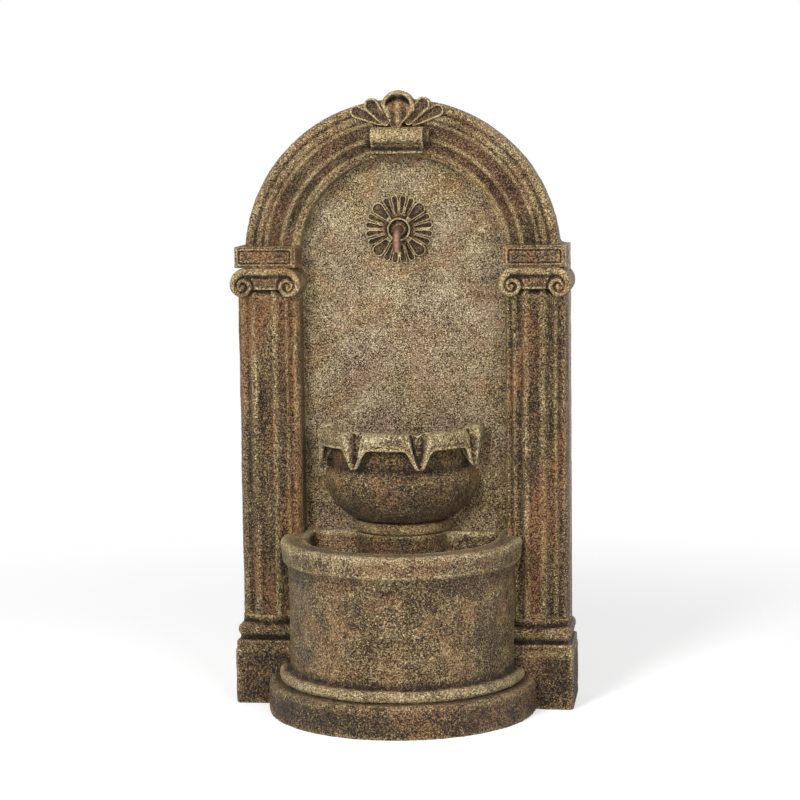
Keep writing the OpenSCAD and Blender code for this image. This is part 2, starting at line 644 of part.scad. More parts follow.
// Level pipe through the wall, with its own elbow and barb down inside the stem
module feed_pipe() black_plastic() at_niche() translate([spout_x, 0, feed_z]) difference() {
    union() {
        facing(pipe_end) cylinder(r = feed_r, h = pipe_end - pump_y);
        translate([0, pump_y, 0]) sphere(r = feed_r);
        translate([0, pump_y, -barb_len]) cylinder(r = barb_r, h = barb_len);
    }
    facing(pipe_end + over) cylinder(r = feed_r - pipe_t, h = pipe_end + over - pump_y);
    translate([0, pump_y, -barb_len - over]) cylinder(r = barb_r - pipe_t, h = barb_len + over);
}

module feed_grommet() rubber() at_niche() translate([spout_x, 0, feed_z]) difference() {
    union() {
        facing(wall_t + 2.5) cylinder(r = feed_r + 7, h = 2.5);
        facing(wall_t) cylinder(r = feed_r + 4 - run, h = wall_t);
    }
    facing(wall_t + 4) cylinder(r = feed_r + run, h = wall_t + 8);
}

module hose(y, z0, z1) vinyl() at_niche() translate([spout_x, y, z0]) difference() {
    cylinder(r = hose_o, h = z1 - z0);
    translate([0, 0, -over]) cylinder(r = hose_r, h = z1 - z0 + 2 * over);
}
module stem_hose() hose(pump_y, pump_z + pump_h + 3, feed_z - feed_r - 3);
module wall_hose() hose(hose_y, feed_z + 12, spout_z - 12);

module clamp_band() {
    difference() {
        union() {
            cylinder(r = hose_o + 1, h = 9);
            translate([hose_o - 1, -4, 0]) cube([8, 8, 9]);
        }
        translate([0, 0, -over]) cylinder(r = hose_o + run, h = 12);
    }
}
clamps_at = [[pump_y, pump_z + pump_h + 7], [pump_y, feed_z - 27], [hose_y, feed_z + 16], [hose_y, spout_z - 25]];
module hose_clamps() color("silver") at_niche() for (p = clamps_at)
    translate([spout_x, p[0], p[1]]) clamp_band();

// Pump, with its spindle along X

module at_pump() at_niche() translate([pump_x, pump_y, pump_z]) children();
axis_z = pump_h / 2;
chamber_len = 14;
rotor_r = 7;
rotor_len = 26;
module along_x(x, z = axis_z) translate([x, 0, z]) rotate([0, 90, 0]) children();

module pump_housing() black_plastic() at_pump() difference() {
    union() {
        translate([-pump_len / 2, -pump_d / 2, 0]) cube([pump_len, pump_d, pump_h]);
        translate([outlet_x, 0, pump_h - over]) cylinder(r = hose_r + 3.5, h = over + 3);
        translate([outlet_x, 0, pump_h - over]) cylinder(r = barb_r, h = over + 22);
        // cooling ribs over the motor end
        for (i = [0:5]) translate([-6 + 5 * i, -pump_d / 2 + 4, pump_h - over])
            cube([2, pump_d - 8, over + 1.5]);
    }
    along_x(-pump_len / 2 - over) cylinder(r = impeller_r + 2.5, h = chamber_len + over);
    along_x(-pump_len / 2) cylinder(r = rotor_r + 1, h = chamber_len + rotor_len + 3);
    along_x(-pump_len / 2) cylinder(r = impeller_shaft_r, h = chamber_len + rotor_len + 8);
    translate([outlet_x, 0, axis_z + impeller_r]) cylinder(r = barb_r - 1.5, h = pump_h);
}

module pump_chamber_cover() black_plastic() at_pump() difference() {
    along_x(-pump_len / 2 - 3) cylinder(r = 18, h = 3);
    for (i = [0:2]) along_x(-pump_len / 2 - 4) rotate(120 * i) translate([7, 0, 0]) cylinder(r = 3, h = 6);
    along_x(-pump_len / 2 - 4) cylinder(r = impeller_shaft_r, h = 6);
}

strainer_len = 12;
strainer_t = 2;
module pump_strainer() black_plastic() at_pump() difference() {
    x0 = -pump_len / 2 - strainer_len;
    translate([x0, -pump_d / 2, 0]) cube([strainer_len, pump_d, pump_h]);
    translate([x0 + strainer_t, strainer_t - pump_d / 2, strainer_t])
        cube([strainer_len, pump_d - 2 * strainer_t, pump_h - 2 * strainer_t]);
    // slots on each side of the solid middle that carries the dial
    for (s = [-1, 1], k = [0:2]) translate([x0 - over, s * (10.5 + 3.4 * k) - 0.8, 6])
        cube([strainer_t + 2 * over, 1.6, pump_h - 12]);
    along_x(x0 - over) cylinder(r = dial_r, h = strainer_t + 2 * over);
}

dial_r = 3;                                   // radius of the dial's stem
module flow_dial() black_plastic() at_pump() {
    x0 = -pump_len / 2 - strainer_len;
    along_x(x0 - clear - 3) cylinder(r = 8, h = 3);
    translate([x0 - clear - 5, -1.2, axis_z - 7]) cube([3, 2.4, 14]);
    along_x(x0 - clear - over) cylinder(r = dial_r - run, h = strainer_t + clear + over + 1.5);
    // half-moon shutter behind the slots
    along_x(x0 + strainer_t + clear) linear_extrude(1.2) difference() {
        circle(r = 16);
        translate([-20, 5]) square([40, 20]);
    }
}

module impeller() color([0.85, 0.85, 0.8]) at_pump() difference() {
    union() {
        along_x(-pump_len / 2 + 3 + 6) cylinder(r = rotor_r, h = rotor_len);
        along_x(-pump_len / 2 + 8) cylinder(r = impeller_r, h = 1.5);
        for (i = [0:impeller_blades - 1]) along_x(-pump_len / 2 + 2) rotate(360 / impeller_blades * i)
            translate([2.5, -0.7, 0]) cube([impeller_r - 2.7, 1.4, 7]);
        along_x(-pump_len / 2 + 2) cylinder(r = 4, h = 8);
    }
    along_x(-pump_len / 2) cylinder(r = impeller_shaft_r + run, h = rotor_len + 14);
}

module impeller_shaft() ceramic() at_pump()
    along_x(-pump_len / 2 - 2.5) cylinder(r = impeller_shaft_r - 0.01, h = chamber_len + rotor_len + 9);

module suction_cups() rubber() at_pump() for (x = [-1, 1], y = [-1, 1])
    translate([x * (pump_len / 2 - 9), y * (pump_d / 2 - 8), -pump_foot]) {
        cylinder(r1 = 7.5, r2 = 4, h = 4);
        cylinder(r = 3, h = pump_foot);
    }

module cord_gland() rubber() at_pump() along_x(pump_len / 2, 10) {
    cylinder(r = 6, h = 3);
    cylinder(r1 = 5, r2 = 3.2, h = 16);
}

back_wall();
arch_moulding();
on_side(-1) plinth();  // left_plinth
on_side(1) plinth();  // right_plinth
on_side(-1) column_base();  // left_column_base
on_side(1) column_base();  // right_column_base
on_side(-1) shaft(reeds_left);  // left_shaft
on_side(1) shaft(reeds_right);  // right_shaft
on_side(-1) capital(reeds_left);  // left_capital
on_side(1) capital(reeds_right);  // right_capital
on_side(-1) impost();  // left_impost
on_side(1) impost();  // right_impost
scroll_roll();
shell_crest();
spout_rosette();
upper_bowl();
bowl_lip();
bowl_ring();
bowl_stem();
basin();
bottom_slab();
drain_plug();
spout_tube();
spout_washer();
spout_locknut();
spout_elbow();
feed_pipe();
feed_grommet();
feed_elbow();
stem_hose();
wall_hose();
hose_clamps();
pump_housing();
pump_chamber_cover();
pump_strainer();
impeller();
impeller_shaft();
flow_dial();
suction_cups();
cord_gland();
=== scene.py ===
"""Weathered garden fountain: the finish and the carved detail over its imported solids."""
import logging
import math
from dataclasses import dataclass
from enum import Enum
from typing import Sequence

import bpy
import numpy as np
from mathutils import Matrix, Vector


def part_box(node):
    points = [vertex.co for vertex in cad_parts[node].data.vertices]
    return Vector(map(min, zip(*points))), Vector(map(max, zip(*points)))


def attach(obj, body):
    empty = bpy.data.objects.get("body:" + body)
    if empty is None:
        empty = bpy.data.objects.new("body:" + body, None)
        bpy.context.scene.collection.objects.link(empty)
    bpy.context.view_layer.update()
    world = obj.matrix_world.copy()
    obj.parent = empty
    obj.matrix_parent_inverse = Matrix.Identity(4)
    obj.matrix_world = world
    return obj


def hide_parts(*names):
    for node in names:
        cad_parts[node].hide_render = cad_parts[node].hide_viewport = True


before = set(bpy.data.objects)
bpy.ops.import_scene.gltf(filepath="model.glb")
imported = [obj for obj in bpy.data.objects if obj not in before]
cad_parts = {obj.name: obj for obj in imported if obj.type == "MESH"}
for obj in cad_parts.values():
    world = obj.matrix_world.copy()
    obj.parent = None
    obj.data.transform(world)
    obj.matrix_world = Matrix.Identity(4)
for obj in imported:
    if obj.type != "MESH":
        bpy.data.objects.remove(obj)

Colour = tuple[float, float, float]
Place = tuple[float, float, float]
Pattern = tuple[float, float]
Curve = tuple[tuple[float, ...], ...]
log = logging.getLogger("fountain")
MM = 0.001
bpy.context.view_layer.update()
NICHE_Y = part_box("arch_moulding")[1].y
FRONT_BODY = "fountain"
WELD = 0.00002
SEAT_REACH = 0.006
NEAR_REACH = 0.0036
FAR_REACH = 0.0095
ARRIS_DEPTH = 0.0007
SWELL_DEPTH = 0.0016


class Grade(Enum):
    """How coarse a casting's surface is rebuilt, in metres."""

    CARVED = 0.0011
    FINE = 0.0015
    MEDIUM = 0.0022
    COARSE = 0.0027
    BROAD = 0.0033
    WALL = 0.0046


class Wash(Enum):
    """The colour wash of a casting: its tone, then its shares of rust, grey and soot."""

    BASIN = (0.05, 0.50, 0.08, 0.22)
    ARCH = (-0.01, 0.45, 0.10, 0.20)
    PANEL = (0.23, 0.50, 0.50, 0.12)
    COLUMN = (-0.01, 1.00, 0.04, 0.25)
    BLOCK = (-0.12, 0.75, 0.05, 0.25)
    FOOT = (-0.16, 0.60, 0.06, 0.40)
    BOWL = (-0.13, 0.55, 0.00, 0.30)
    LIP = (0.11, 0.12, 0.10, 0.05)
    LEAF = (-0.10, 0.25, 0.12, 0.40)
    CREST = (-0.09, 0.40, 0.00, 0.20)
    ROLL = (-0.04, 0.25, 0.00, 0.25)


class Value:
    """A shader socket that takes part in ordinary sums."""

    def __init__(self, board: "Board", socket: bpy.types.NodeSocket) -> None:
        """Keeps the socket and the board it belongs to."""
        self.board = board
        self.socket = socket

    def _sum(self, operation: str, first: "Value | float", second: "Value | float") -> "Value":
        """Adds one Math node with the two sides of a sum."""
        return self.board.node("ShaderNodeMath", {"operation": operation}, {0: first, 1: second})

    def __add__(self, other: "Value | float") -> "Value":
        """This plus other."""
        return self._sum("ADD", self, other)

    def __radd__(self, other: float) -> "Value":
        """Other plus this."""
        return self._sum("ADD", other, self)

    def __sub__(self, other: "Value | float") -> "Value":
        """This minus other."""
        return self._sum("SUBTRACT", self, other)

    def __rsub__(self, other: float) -> "Value":
        """Other minus this."""
        return self._sum("SUBTRACT", other, self)

    def __mul__(self, other: "Value | float") -> "Value":
        """This times other."""
        return self._sum("MULTIPLY", self, other)

    def __rmul__(self, other: float) -> "Value":
        """Other times this."""
        return self._sum("MULTIPLY", other, self)

    def between(self, low: float, high: float) -> "Value":
        """A smooth step from 0 at the low value to 1 at the high one."""
        inputs = {"Value": self, "From Min": low, "From Max": high}
        return self.board.node("ShaderNodeMapRange", {"interpolation_type": "SMOOTHSTEP"}, inputs, "Result")


class Board:
    """A node tree that any node is added to in one way."""

    def __init__(self, tree: bpy.types.NodeTree) -> None:
        """Keeps the tree's nodes and links."""
        self.nodes = tree.nodes
        self.links = tree.links

    def node(
        self, kind: str, settings: dict[str, object], inputs: dict[str | int, object], output: str | int = 0
    ) -> Value:
        """Adds any node.

        Args:
            kind: the node's type.
            settings: its properties, with a ramp's colours under "stops".
            inputs: its sockets' values or links, by name or number.
            output: which of its outputs is read, by name or number.

        Returns:
            That output.
        """
        node = self.nodes.new(kind)
        for key, setting in settings.items():
            if key == "stops":
                self._stops(node, setting)
            else:
                setattr(node, key, setting)
        for key, value in inputs.items():
            self.put(node.inputs[key], value)
        return Value(self, node.outputs[output])

    def _stops(self, node: bpy.types.Node, stops: Sequence[tuple[float, Colour]]) -> None:
        """Sets a ramp's stops.

        Args:
            node: the ramp.
            stops: each stop's place and colour.
        """
        marks = node.color_ramp.elements
        while len(marks) < len(stops):
            marks.new(1.0)
        for mark, (place, colour) in zip(marks, stops):
            mark.position = place
            mark.color = (*colour, 1.0)

    def put(self, socket: bpy.types.NodeSocket, value: object) -> None:
        """Sets or links one socket.

        Args:
            socket: an input socket.
            value: a number, a colour, or a Value to link.
        """
        if isinstance(value, Value):
            self.links.new(value.socket, socket)
        elif isinstance(value, tuple) and len(value) == 3 and socket.type == "RGBA":
            socket.default_value = (*value, 1.0)
        else:
            socket.default_value = value

    def blend(self, share: Value, low: Value, high: Value) -> Value:
        """Mixes two shaders by a share that is 0 for the low one and 1 for the high one."""
        return self.node("ShaderNodeMixShader", {}, {0: share, 1: low, 2: high})


class Sheet(Board):
    """One material's node sheet, with short ways to add the nodes that the finishes use."""

    def __init__(self, name: str) -> None:
        """Makes the material and its Principled shader.

        Args:
            name: the material's name.
        """
        self.material = bpy.data.materials.new(name)
        self.material.use_nodes = True
        super().__init__(self.material.node_tree)
        self.shader = self.nodes["Principled BSDF"]
        self.place = self.node("ShaderNodeTexCoord", {}, {}, "Object")

    def noise(
        self, size: float, detail: float = 3.0, rough: float = 0.55, stretch: Sequence[float] = (1, 1, 1)
    ) -> Value:
        """Adds a noise of a given grain.

        Args:
            size: the grain's size in metres.
            detail: octaves.
            rough: share of the fine octaves.
            stretch: how much longer the grain is along each axis.

        Returns:
            The noise, about 0.5 on average.
        """
        scale = tuple(1.0 / s for s in stretch)
        place = self.node("ShaderNodeMapping", {}, {"Vector": self.place, "Scale": scale})
        inputs = {"Vector": place, "Scale": 1.0 / size, "Detail": detail, "Roughness": rough}
        return self.node("ShaderNodeTexNoise", {}, inputs)

    def level(self) -> Value:
        """Reads the height above the floor, in metres."""
        return self.node("ShaderNodeSeparateXYZ", {}, {"Vector": self.place}, "Z")

    def attribute(self, name: str) -> Value:
        """Reads a number kept on the mesh under a name."""
        return self.node("ShaderNodeAttribute", {"attribute_name": name}, {}, "Fac")

    def mix(self, share: Value | float, low: Value | Colour, high: Value | Colour) -> Value:
        """Mixes two colours by a share that is 0 for the low one and 1 for the high one."""
        return self.node("ShaderNodeMix", {"data_type": "RGBA"}, {0: share, 6: low, 7: high}, 2)

    def ramp(self, share: Value, stops: Sequence[tuple[float, Colour]]) -> Value:
        """Turns a number into a colour, by the place and colour of each stop."""
        return self.node("ShaderNodeValToRGB", {"stops": stops}, {0: share})

    def bump(self, height: Value, depth: float, strength: float = 1.0) -> None:
        """Feeds a bump to the shader's normal, where the depth is what a height of 1 is in metres."""
        bump = self.node("ShaderNodeBump", {}, {"Height": height, "Distance": depth, "Strength": strength})
        self.set(Normal=bump)

    def set(self, **inputs: object) -> None:
        """Sets the shader's sockets, with an underscore for each space in a name."""
        for key, value in inputs.items():
            self.put(self.shader.inputs[key.replace("_", " ")], value)


@dataclass(frozen=True)
class StoneFinish:
    """Pitted cast stone under an antique bronze wash, rubbed bright on its edges, with painted shade in its
    hollows and painted light on its broad swells.

    A pattern is the size of its patches in metres and how far it moves the tone.
    """

    name: str
    wash: Wash
    soot: Colour = (0.013, 0.008, 0.005)
    umber: Colour = (0.060, 0.034, 0.018)
    brown: Colour = (0.155, 0.092, 0.042)
    tan: Colour = (0.310, 0.218, 0.096)
    gold: Colour = (0.550, 0.425, 0.200)
    bright: Colour = (0.820, 0.680, 0.410)
    rust: Colour = (0.370, 0.165, 0.062)
    ash: Colour = (0.560, 0.450, 0.340)
    plain: float = 0.56
    drift: Pattern = (0.070, 0.72)
    blotch: Pattern = (0.018, 0.40)
    grit: Pattern = (0.0030, 0.75)
    cracks: Pattern = (0.0048, 0.40)
    pits: Pattern = (0.011, 0.30)
    grains_and_glints: float = 0.18
    rust_size: float = 0.075
    ash_size: float = 0.16
    grime_size: float = 0.12
    pitting: float = 1.0
    streak: float = 1.0
    # How much darker creases and hollows are: painted shade, together with the dark wash that settles there.
    crevice_shade_and_wash: float = 0.30
    rub: float = 0.22
    # How much lighter broad swells are and how much darker broad hollows are: painted light and painted
    # shade.
    body: float = 0.26
    rise: tuple[float, float, float] = (0.0, 1.2, 0.0)
    relief: float = 0.0052
    rough: float = 0.50
    shine: float = 0.42

    def build(self) -> bpy.types.Material:
        """Builds the material.

        Returns:
            The material.
        """
        sheet = Sheet(self.name)
        bias, rust_share, ash_share, soot_share = self.wash.value
        long = (1, 1, self.streak)
        edge, hollow, swell = (sheet.attribute(name) for name in ("edge", "hollow", "swell"))
        drift = sheet.noise(self.drift[0], 4.0, 0.6, long)
        blotch = sheet.noise(self.blotch[0], 3.0, 0.6, long)
        grit = sheet.noise(self.grit[0], 1.0, 0.6)
        cell = sheet.noise(self.cracks[0], 1.0, 0.6)
        pits = grit.between(0.46, 0.36) * sheet.noise(self.pits[0], 2.0).between(0.34, 0.60) * self.pitting
        cracks = cell.between(0.40, 0.50) * cell.between(0.60, 0.50) * (0.35 + 0.65 * self.pitting)
        # Pale raised grains lighten the colour: partly the stone's own pale grit, partly painted glints.
        grains_and_glints = grit.between(0.56, 0.70) * (0.4 + 0.6 * self.pitting)
        foot, head, lift = self.rise
        tone = self.plain + bias + self.blotch[1] * (blotch - 0.5) + self.drift[1] * (drift - 0.5)
        # Painted light on broad swells and painted shade in broad hollows, by the body weight.
        tone = tone + self.rub * edge - self.crevice_shade_and_wash * hollow + self.body * (swell - 0.5)
        # Darker towards the bottom and lighter towards the top, by the rise: on the niche face, painted shade
        # of the low recess behind the bowl, together with a darker wash there.
        tone = tone + lift * (sheet.level().between(foot, head) - 0.5)
        spot = tone + self.grains_and_glints * grains_and_glints - self.pits[1] * pits - self.cracks[1] * cracks
        spot = spot + self.grit[1] * (grit - 0.5)
        tints = (self.soot, self.umber, self.brown, self.tan, self.gold, self.bright)
        colour = sheet.ramp(spot, tuple(zip((0.02, 0.20, 0.42, 0.62, 0.84, 1.0), tints)))
        rusty = sheet.noise(self.rust_size, 4.0, 0.62, long).between(0.46, 0.60) * rust_share
        rusty = rusty * spot.between(0.10, 0.50) * (1.0 - 0.5 * edge)
        colour = sheet.mix(rusty * 0.75, colour, self.rust)
        ashen = sheet.noise(self.ash_size, 4.0).between(0.30, 0.66) * ash_share
        colour = sheet.mix(ashen * spot.between(0.34, 0.70), colour, self.ash)
        grime = sheet.noise(self.grime_size, 4.0, 0.62).between(0.52, 0.72) * soot_share
        colour = sheet.mix(grime * (1.0 - edge), colour, self.umber)
        sheet.bump(0.4 * grains_and_glints + 0.4 * blotch - 0.6 * pits - 0.5 * cracks + 0.8 * grit, self.relief)
        sheet.set(
            Base_Color=colour,
            Roughness=self.rough - 0.18 * grains_and_glints - 0.08 * edge,
            Metallic=0.0,
            Specular_IOR_Level=self.shine,
        )
        return sheet.material


@dataclass(frozen=True)
class MetalFinish:
    """A tube, fitting or band of metal, dulled in patches."""

    name: str
    bright: Colour
    dull: Colour
    gloss: float = 0.3
    grain: float = 0.02

    def build(self) -> bpy.types.Material:
        """Builds the material.

        Returns:
            The material.
        """
        sheet = Sheet(self.name)
        stain = sheet.noise(self.grain, 4.0, 0.6).between(0.38, 0.66)
        fine = sheet.noise(self.grain * 0.06, 2.0, 0.6)
        sheet.set(
            Base_Color=sheet.mix(stain, self.bright, self.dull),
            Roughness=self.gloss + 0.22 * stain + 0.10 * (fine - 0.5),
            Metallic=1.0,
        )
        sheet.bump(fine, 0.00012, 0.5)
        return sheet.material


@dataclass(frozen=True)
class MouldedFinish:
    """Moulded rubber, plastic or ceramic with a fine tooth and a bloom of scale."""

    name: str
    body: Colour
    bloom: Colour
    rough: float = 0.5
    tooth: float = 0.0008

    def build(self) -> bpy.types.Material:
        """Builds the material.

        Returns:
            The material.
        """
        sheet = Sheet(self.name)
        dust = sheet.noise(0.018, 4.0, 0.65).between(0.48, 0.78)
        tooth = sheet.noise(self.tooth, 2.0, 0.5)
        sheet.set(
            Base_Color=sheet.mix(dust * 0.55, self.body, self.bloom),
            Roughness=self.rough + 0.14 * dust + 0.08 * (tooth - 0.5),
        )
        sheet.bump(tooth, 0.00010, 0.6)
        return sheet.material


@dataclass(frozen=True)
class VinylFinish:
    """Clear hose, milky with age."""

    name: str
    body: Colour = (0.66, 0.72, 0.70)
    milk: Colour = (0.80, 0.82, 0.76)
    alpha: float = 0.55

    def build(self) -> bpy.types.Material:
        """Builds the material.

        Returns:
            The material.
        """
        sheet = Sheet(self.name)
        haze = sheet.noise(0.03, 3.0).between(0.35, 0.7)
        sheet.set(
            Base_Color=sheet.mix(haze, self.body, self.milk),
            Roughness=0.12 + 0.16 * haze,
            Alpha=self.alpha + 0.2 * haze,
        )
        return sheet.material


def deselect() -> None:
    """Leaves nothing selected or in edit mode."""
    if bpy.context.object and bpy.context.object.mode != "OBJECT":
        bpy.ops.object.mode_set(mode="OBJECT")
    bpy.ops.object.select_all(action="DESELECT")


def pick(piece: bpy.types.Object) -> None:
    """Makes one object the selected and active one."""
    deselect()
    piece.select_set(True)
    bpy.context.view_layer.objects.active = piece


def apply(piece: bpy.types.Object, kind: str, **settings: object) -> None:
    """Adds a modifier and applies it at once.

    Args:
        piece: the object.
        kind: the modifier's type.
        settings: its properties.
    """
    pick(piece)
    modifier = piece.modifiers.new(kind.title(), kind)
    for key, setting in settings.items():
        setattr(modifier, key, setting)
    bpy.ops.object.modifier_apply(modifier=modifier.name)


def clean(piece: bpy.types.Object) -> None:
    """Merges a mesh's doubles and turns its faces outwards."""
    pick(piece)
    bpy.ops.object.mode_set(mode="EDIT")
    bpy.ops.mesh.select_all(action="SELECT")
    bpy.ops.mesh.remove_doubles(threshold=WELD)
    bpy.ops.mesh.normals_make_consistent(inside=False)
    bpy.ops.object.mode_set(mode="OBJECT")


def node_copy(node: str, name: str) -> bpy.types.Object:
    """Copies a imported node's mesh, welded.

    Args:
        node: the node's name.
        name: the copy's name.

    Returns:
        The copy, in place.
    """
    piece = bpy.data.objects.new(name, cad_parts[node].data.copy())
    bpy.context.scene.collection.objects.link(piece)
    piece.data.materials.clear()
    clean(piece)
    return piece


def clouds(name: str, size: float, depth: int = 2) -> bpy.types.Texture:
    """Makes a cloud texture for displacing meshes.

    Args:
        name: the texture's name.
        size: the clouds' size in metres.
        depth: octaves.

    Returns:
        The texture.
    """
    texture = bpy.data.textures.new(name, "CLOUDS")
    texture.noise_scale = size
    texture.noise_depth = depth
    texture.noise_basis = "ORIGINAL_PERLIN"
    return texture


def points(piece: bpy.types.Object) -> np.ndarray:
    """Reads a mesh's points.

    Args:
        piece: the object.

    Returns:
        One row for each point.
    """
    flat = np.zeros(len(piece.data.vertices) * 3, np.float32)
    piece.data.vertices.foreach_get("co", flat)
    return flat.reshape(-1, 3)


def move_points(piece: bpy.types.Object, places: np.ndarray) -> None:
    """Writes a mesh's points, one row for each."""
    piece.data.vertices.foreach_set("co", np.ascontiguousarray(places, np.float32).ravel())
    piece.data.update()


def keep(piece: bpy.types.Object, name: str, values: np.ndarray) -> None:
    """Keeps one number for each point of a mesh, for its finish to read."""
    layer = piece.data.attributes.new(name, "FLOAT", "POINT")
    layer.data.foreach_set("value", np.clip(values, 0, 1).astype(np.float32))


def relief(piece: bpy.types.Object, spacing: float) -> None:
    """Keeps on the mesh where it is raised or hollow, over a few millimetres and over centimetres.

    Args:
        piece: the object.
        spacing: the usual distance between its points, in metres.
    """
    mesh = piece.data
    places = points(piece).astype(np.float64)
    pairs = np.zeros(len(mesh.edges) * 2, np.int32)
    mesh.edges.foreach_get("vertices", pairs)
    pairs = pairs.reshape(-1, 2)
    count = len(places)
    valence = np.maximum(np.bincount(pairs.ravel(), minlength=count), 1).astype(np.float64)
    normals = np.zeros(count * 3, np.float32)
    mesh.vertex_normals.foreach_get("vector", normals)
    normals = normals.reshape(-1, 3)

    def spread(values: np.ndarray, reach: float) -> np.ndarray:
        """Averages values over a reach in metres."""
        for _ in range(max(2, round(4 * (reach / spacing) ** 2))):
            near = [
                np.bincount(pairs[:, 0], column[pairs[:, 1]], count)
                + np.bincount(pairs[:, 1], column[pairs[:, 0]], count)
                for column in values.T
            ]
            values = 0.5 * values + 0.5 * np.stack(near, axis=1) / valence[:, None]
        return values

    near = spread(places, max(NEAR_REACH, 1.2 * spacing))
    far = spread(near, max(FAR_REACH, 2.2 * spacing))
    fine = np.einsum("ij,ij->i", places - near, normals)
    broad = np.einsum("ij,ij->i", near - far, normals)
    keep(piece, "edge", fine / ARRIS_DEPTH)
    keep(piece, "hollow", -fine / ARRIS_DEPTH)
    keep(piece, "swell", 0.5 + 0.5 * broad / SWELL_DEPTH)


def deepen(piece: bpy.types.Object, share: np.ndarray) -> None:
    """Counts points as hollow by at least a given share, so that the finish paints shade there, together with
    the dark wash that settles in hollows.

    Args:
        piece: the object, after its relief is kept.
        share: the least that each point counts as hollow.
    """
    layer = piece.data.attributes["hollow"]
    deep = np.zeros(len(share), np.float32)
    layer.data.foreach_get("value", deep)
    layer.data.foreach_set("value", np.maximum(deep, share).astype(np.float32))


def mesh_piece(name: str, places: np.ndarray, faces: Sequence[Sequence[int]]) -> bpy.types.Object:
    """Makes an object from points and faces.

    Args:
        name: the object's name.
        places: one row for each point, in metres.
        faces: the points of each face.

    Returns:
        The object, with its faces turned outwards.
    """
    mesh = bpy.data.meshes.new(name)
    mesh.from_pydata([tuple(place) for place in places.tolist()], [], faces)
    piece = bpy.data.objects.new(name, mesh)
    bpy.context.scene.collection.objects.link(piece)
    clean(piece)
    return piece


def loft(name: str, sections: Sequence[np.ndarray]) -> bpy.types.Object:
    """Skins a row of closed cross-sections, with a flat cap at each end.

    Args:
        name: the object's name.
        sections: the cross-sections in order, in metres, each with as many points.

    Returns:
        The closed object.
    """
    rows, last = len(sections[0]), len(sections) - 1
    faces = [
        (i * rows + k, i * rows + (k + 1) % rows, (i + 1) * rows + (k + 1) % rows, (i + 1) * rows + k)
        for i in range(last) for k in range(rows)
    ]
    faces += [tuple(range(rows)), tuple(last * rows + k for k in reversed(range(rows)))]
    return mesh_piece(name, np.vstack(sections), faces)


def even_line(corners: np.ndarray, count: int) -> np.ndarray:
    """Spaces points evenly along a line.

    Args:
        corners: the line's corners, one row each.
        count: how many points to place.

    Returns:
        One row for each point.
    """
    length = np.concatenate([[0], np.cumsum(np.hypot(*np.diff(corners, axis=0).T))])
    even = np.linspace(0, length[-1], count)
    return np.stack([np.interp(even, length, column) for column in corners.T], axis=1)


def smooth(share: np.ndarray | float) -> np.ndarray:
    """A smooth step from 0 to 1."""
    share = np.clip(share, 0, 1)
    return share * share * (3 - 2 * share)


def bell(offset: np.ndarray, width: float) -> np.ndarray:
    """A smooth bump, 1 at no offset and gone past about two widths."""
    return np.exp(-((offset / width) ** 2))


def tube(gap: np.ndarray, foot: float, swell: float) -> np.ndarray:
    """The height of a round-backed tube, by the distance from its middle as a share of its half width."""
    return np.where(gap < 1, foot + swell * np.sqrt(np.clip(1 - gap ** 2, 0, 1)), 0)


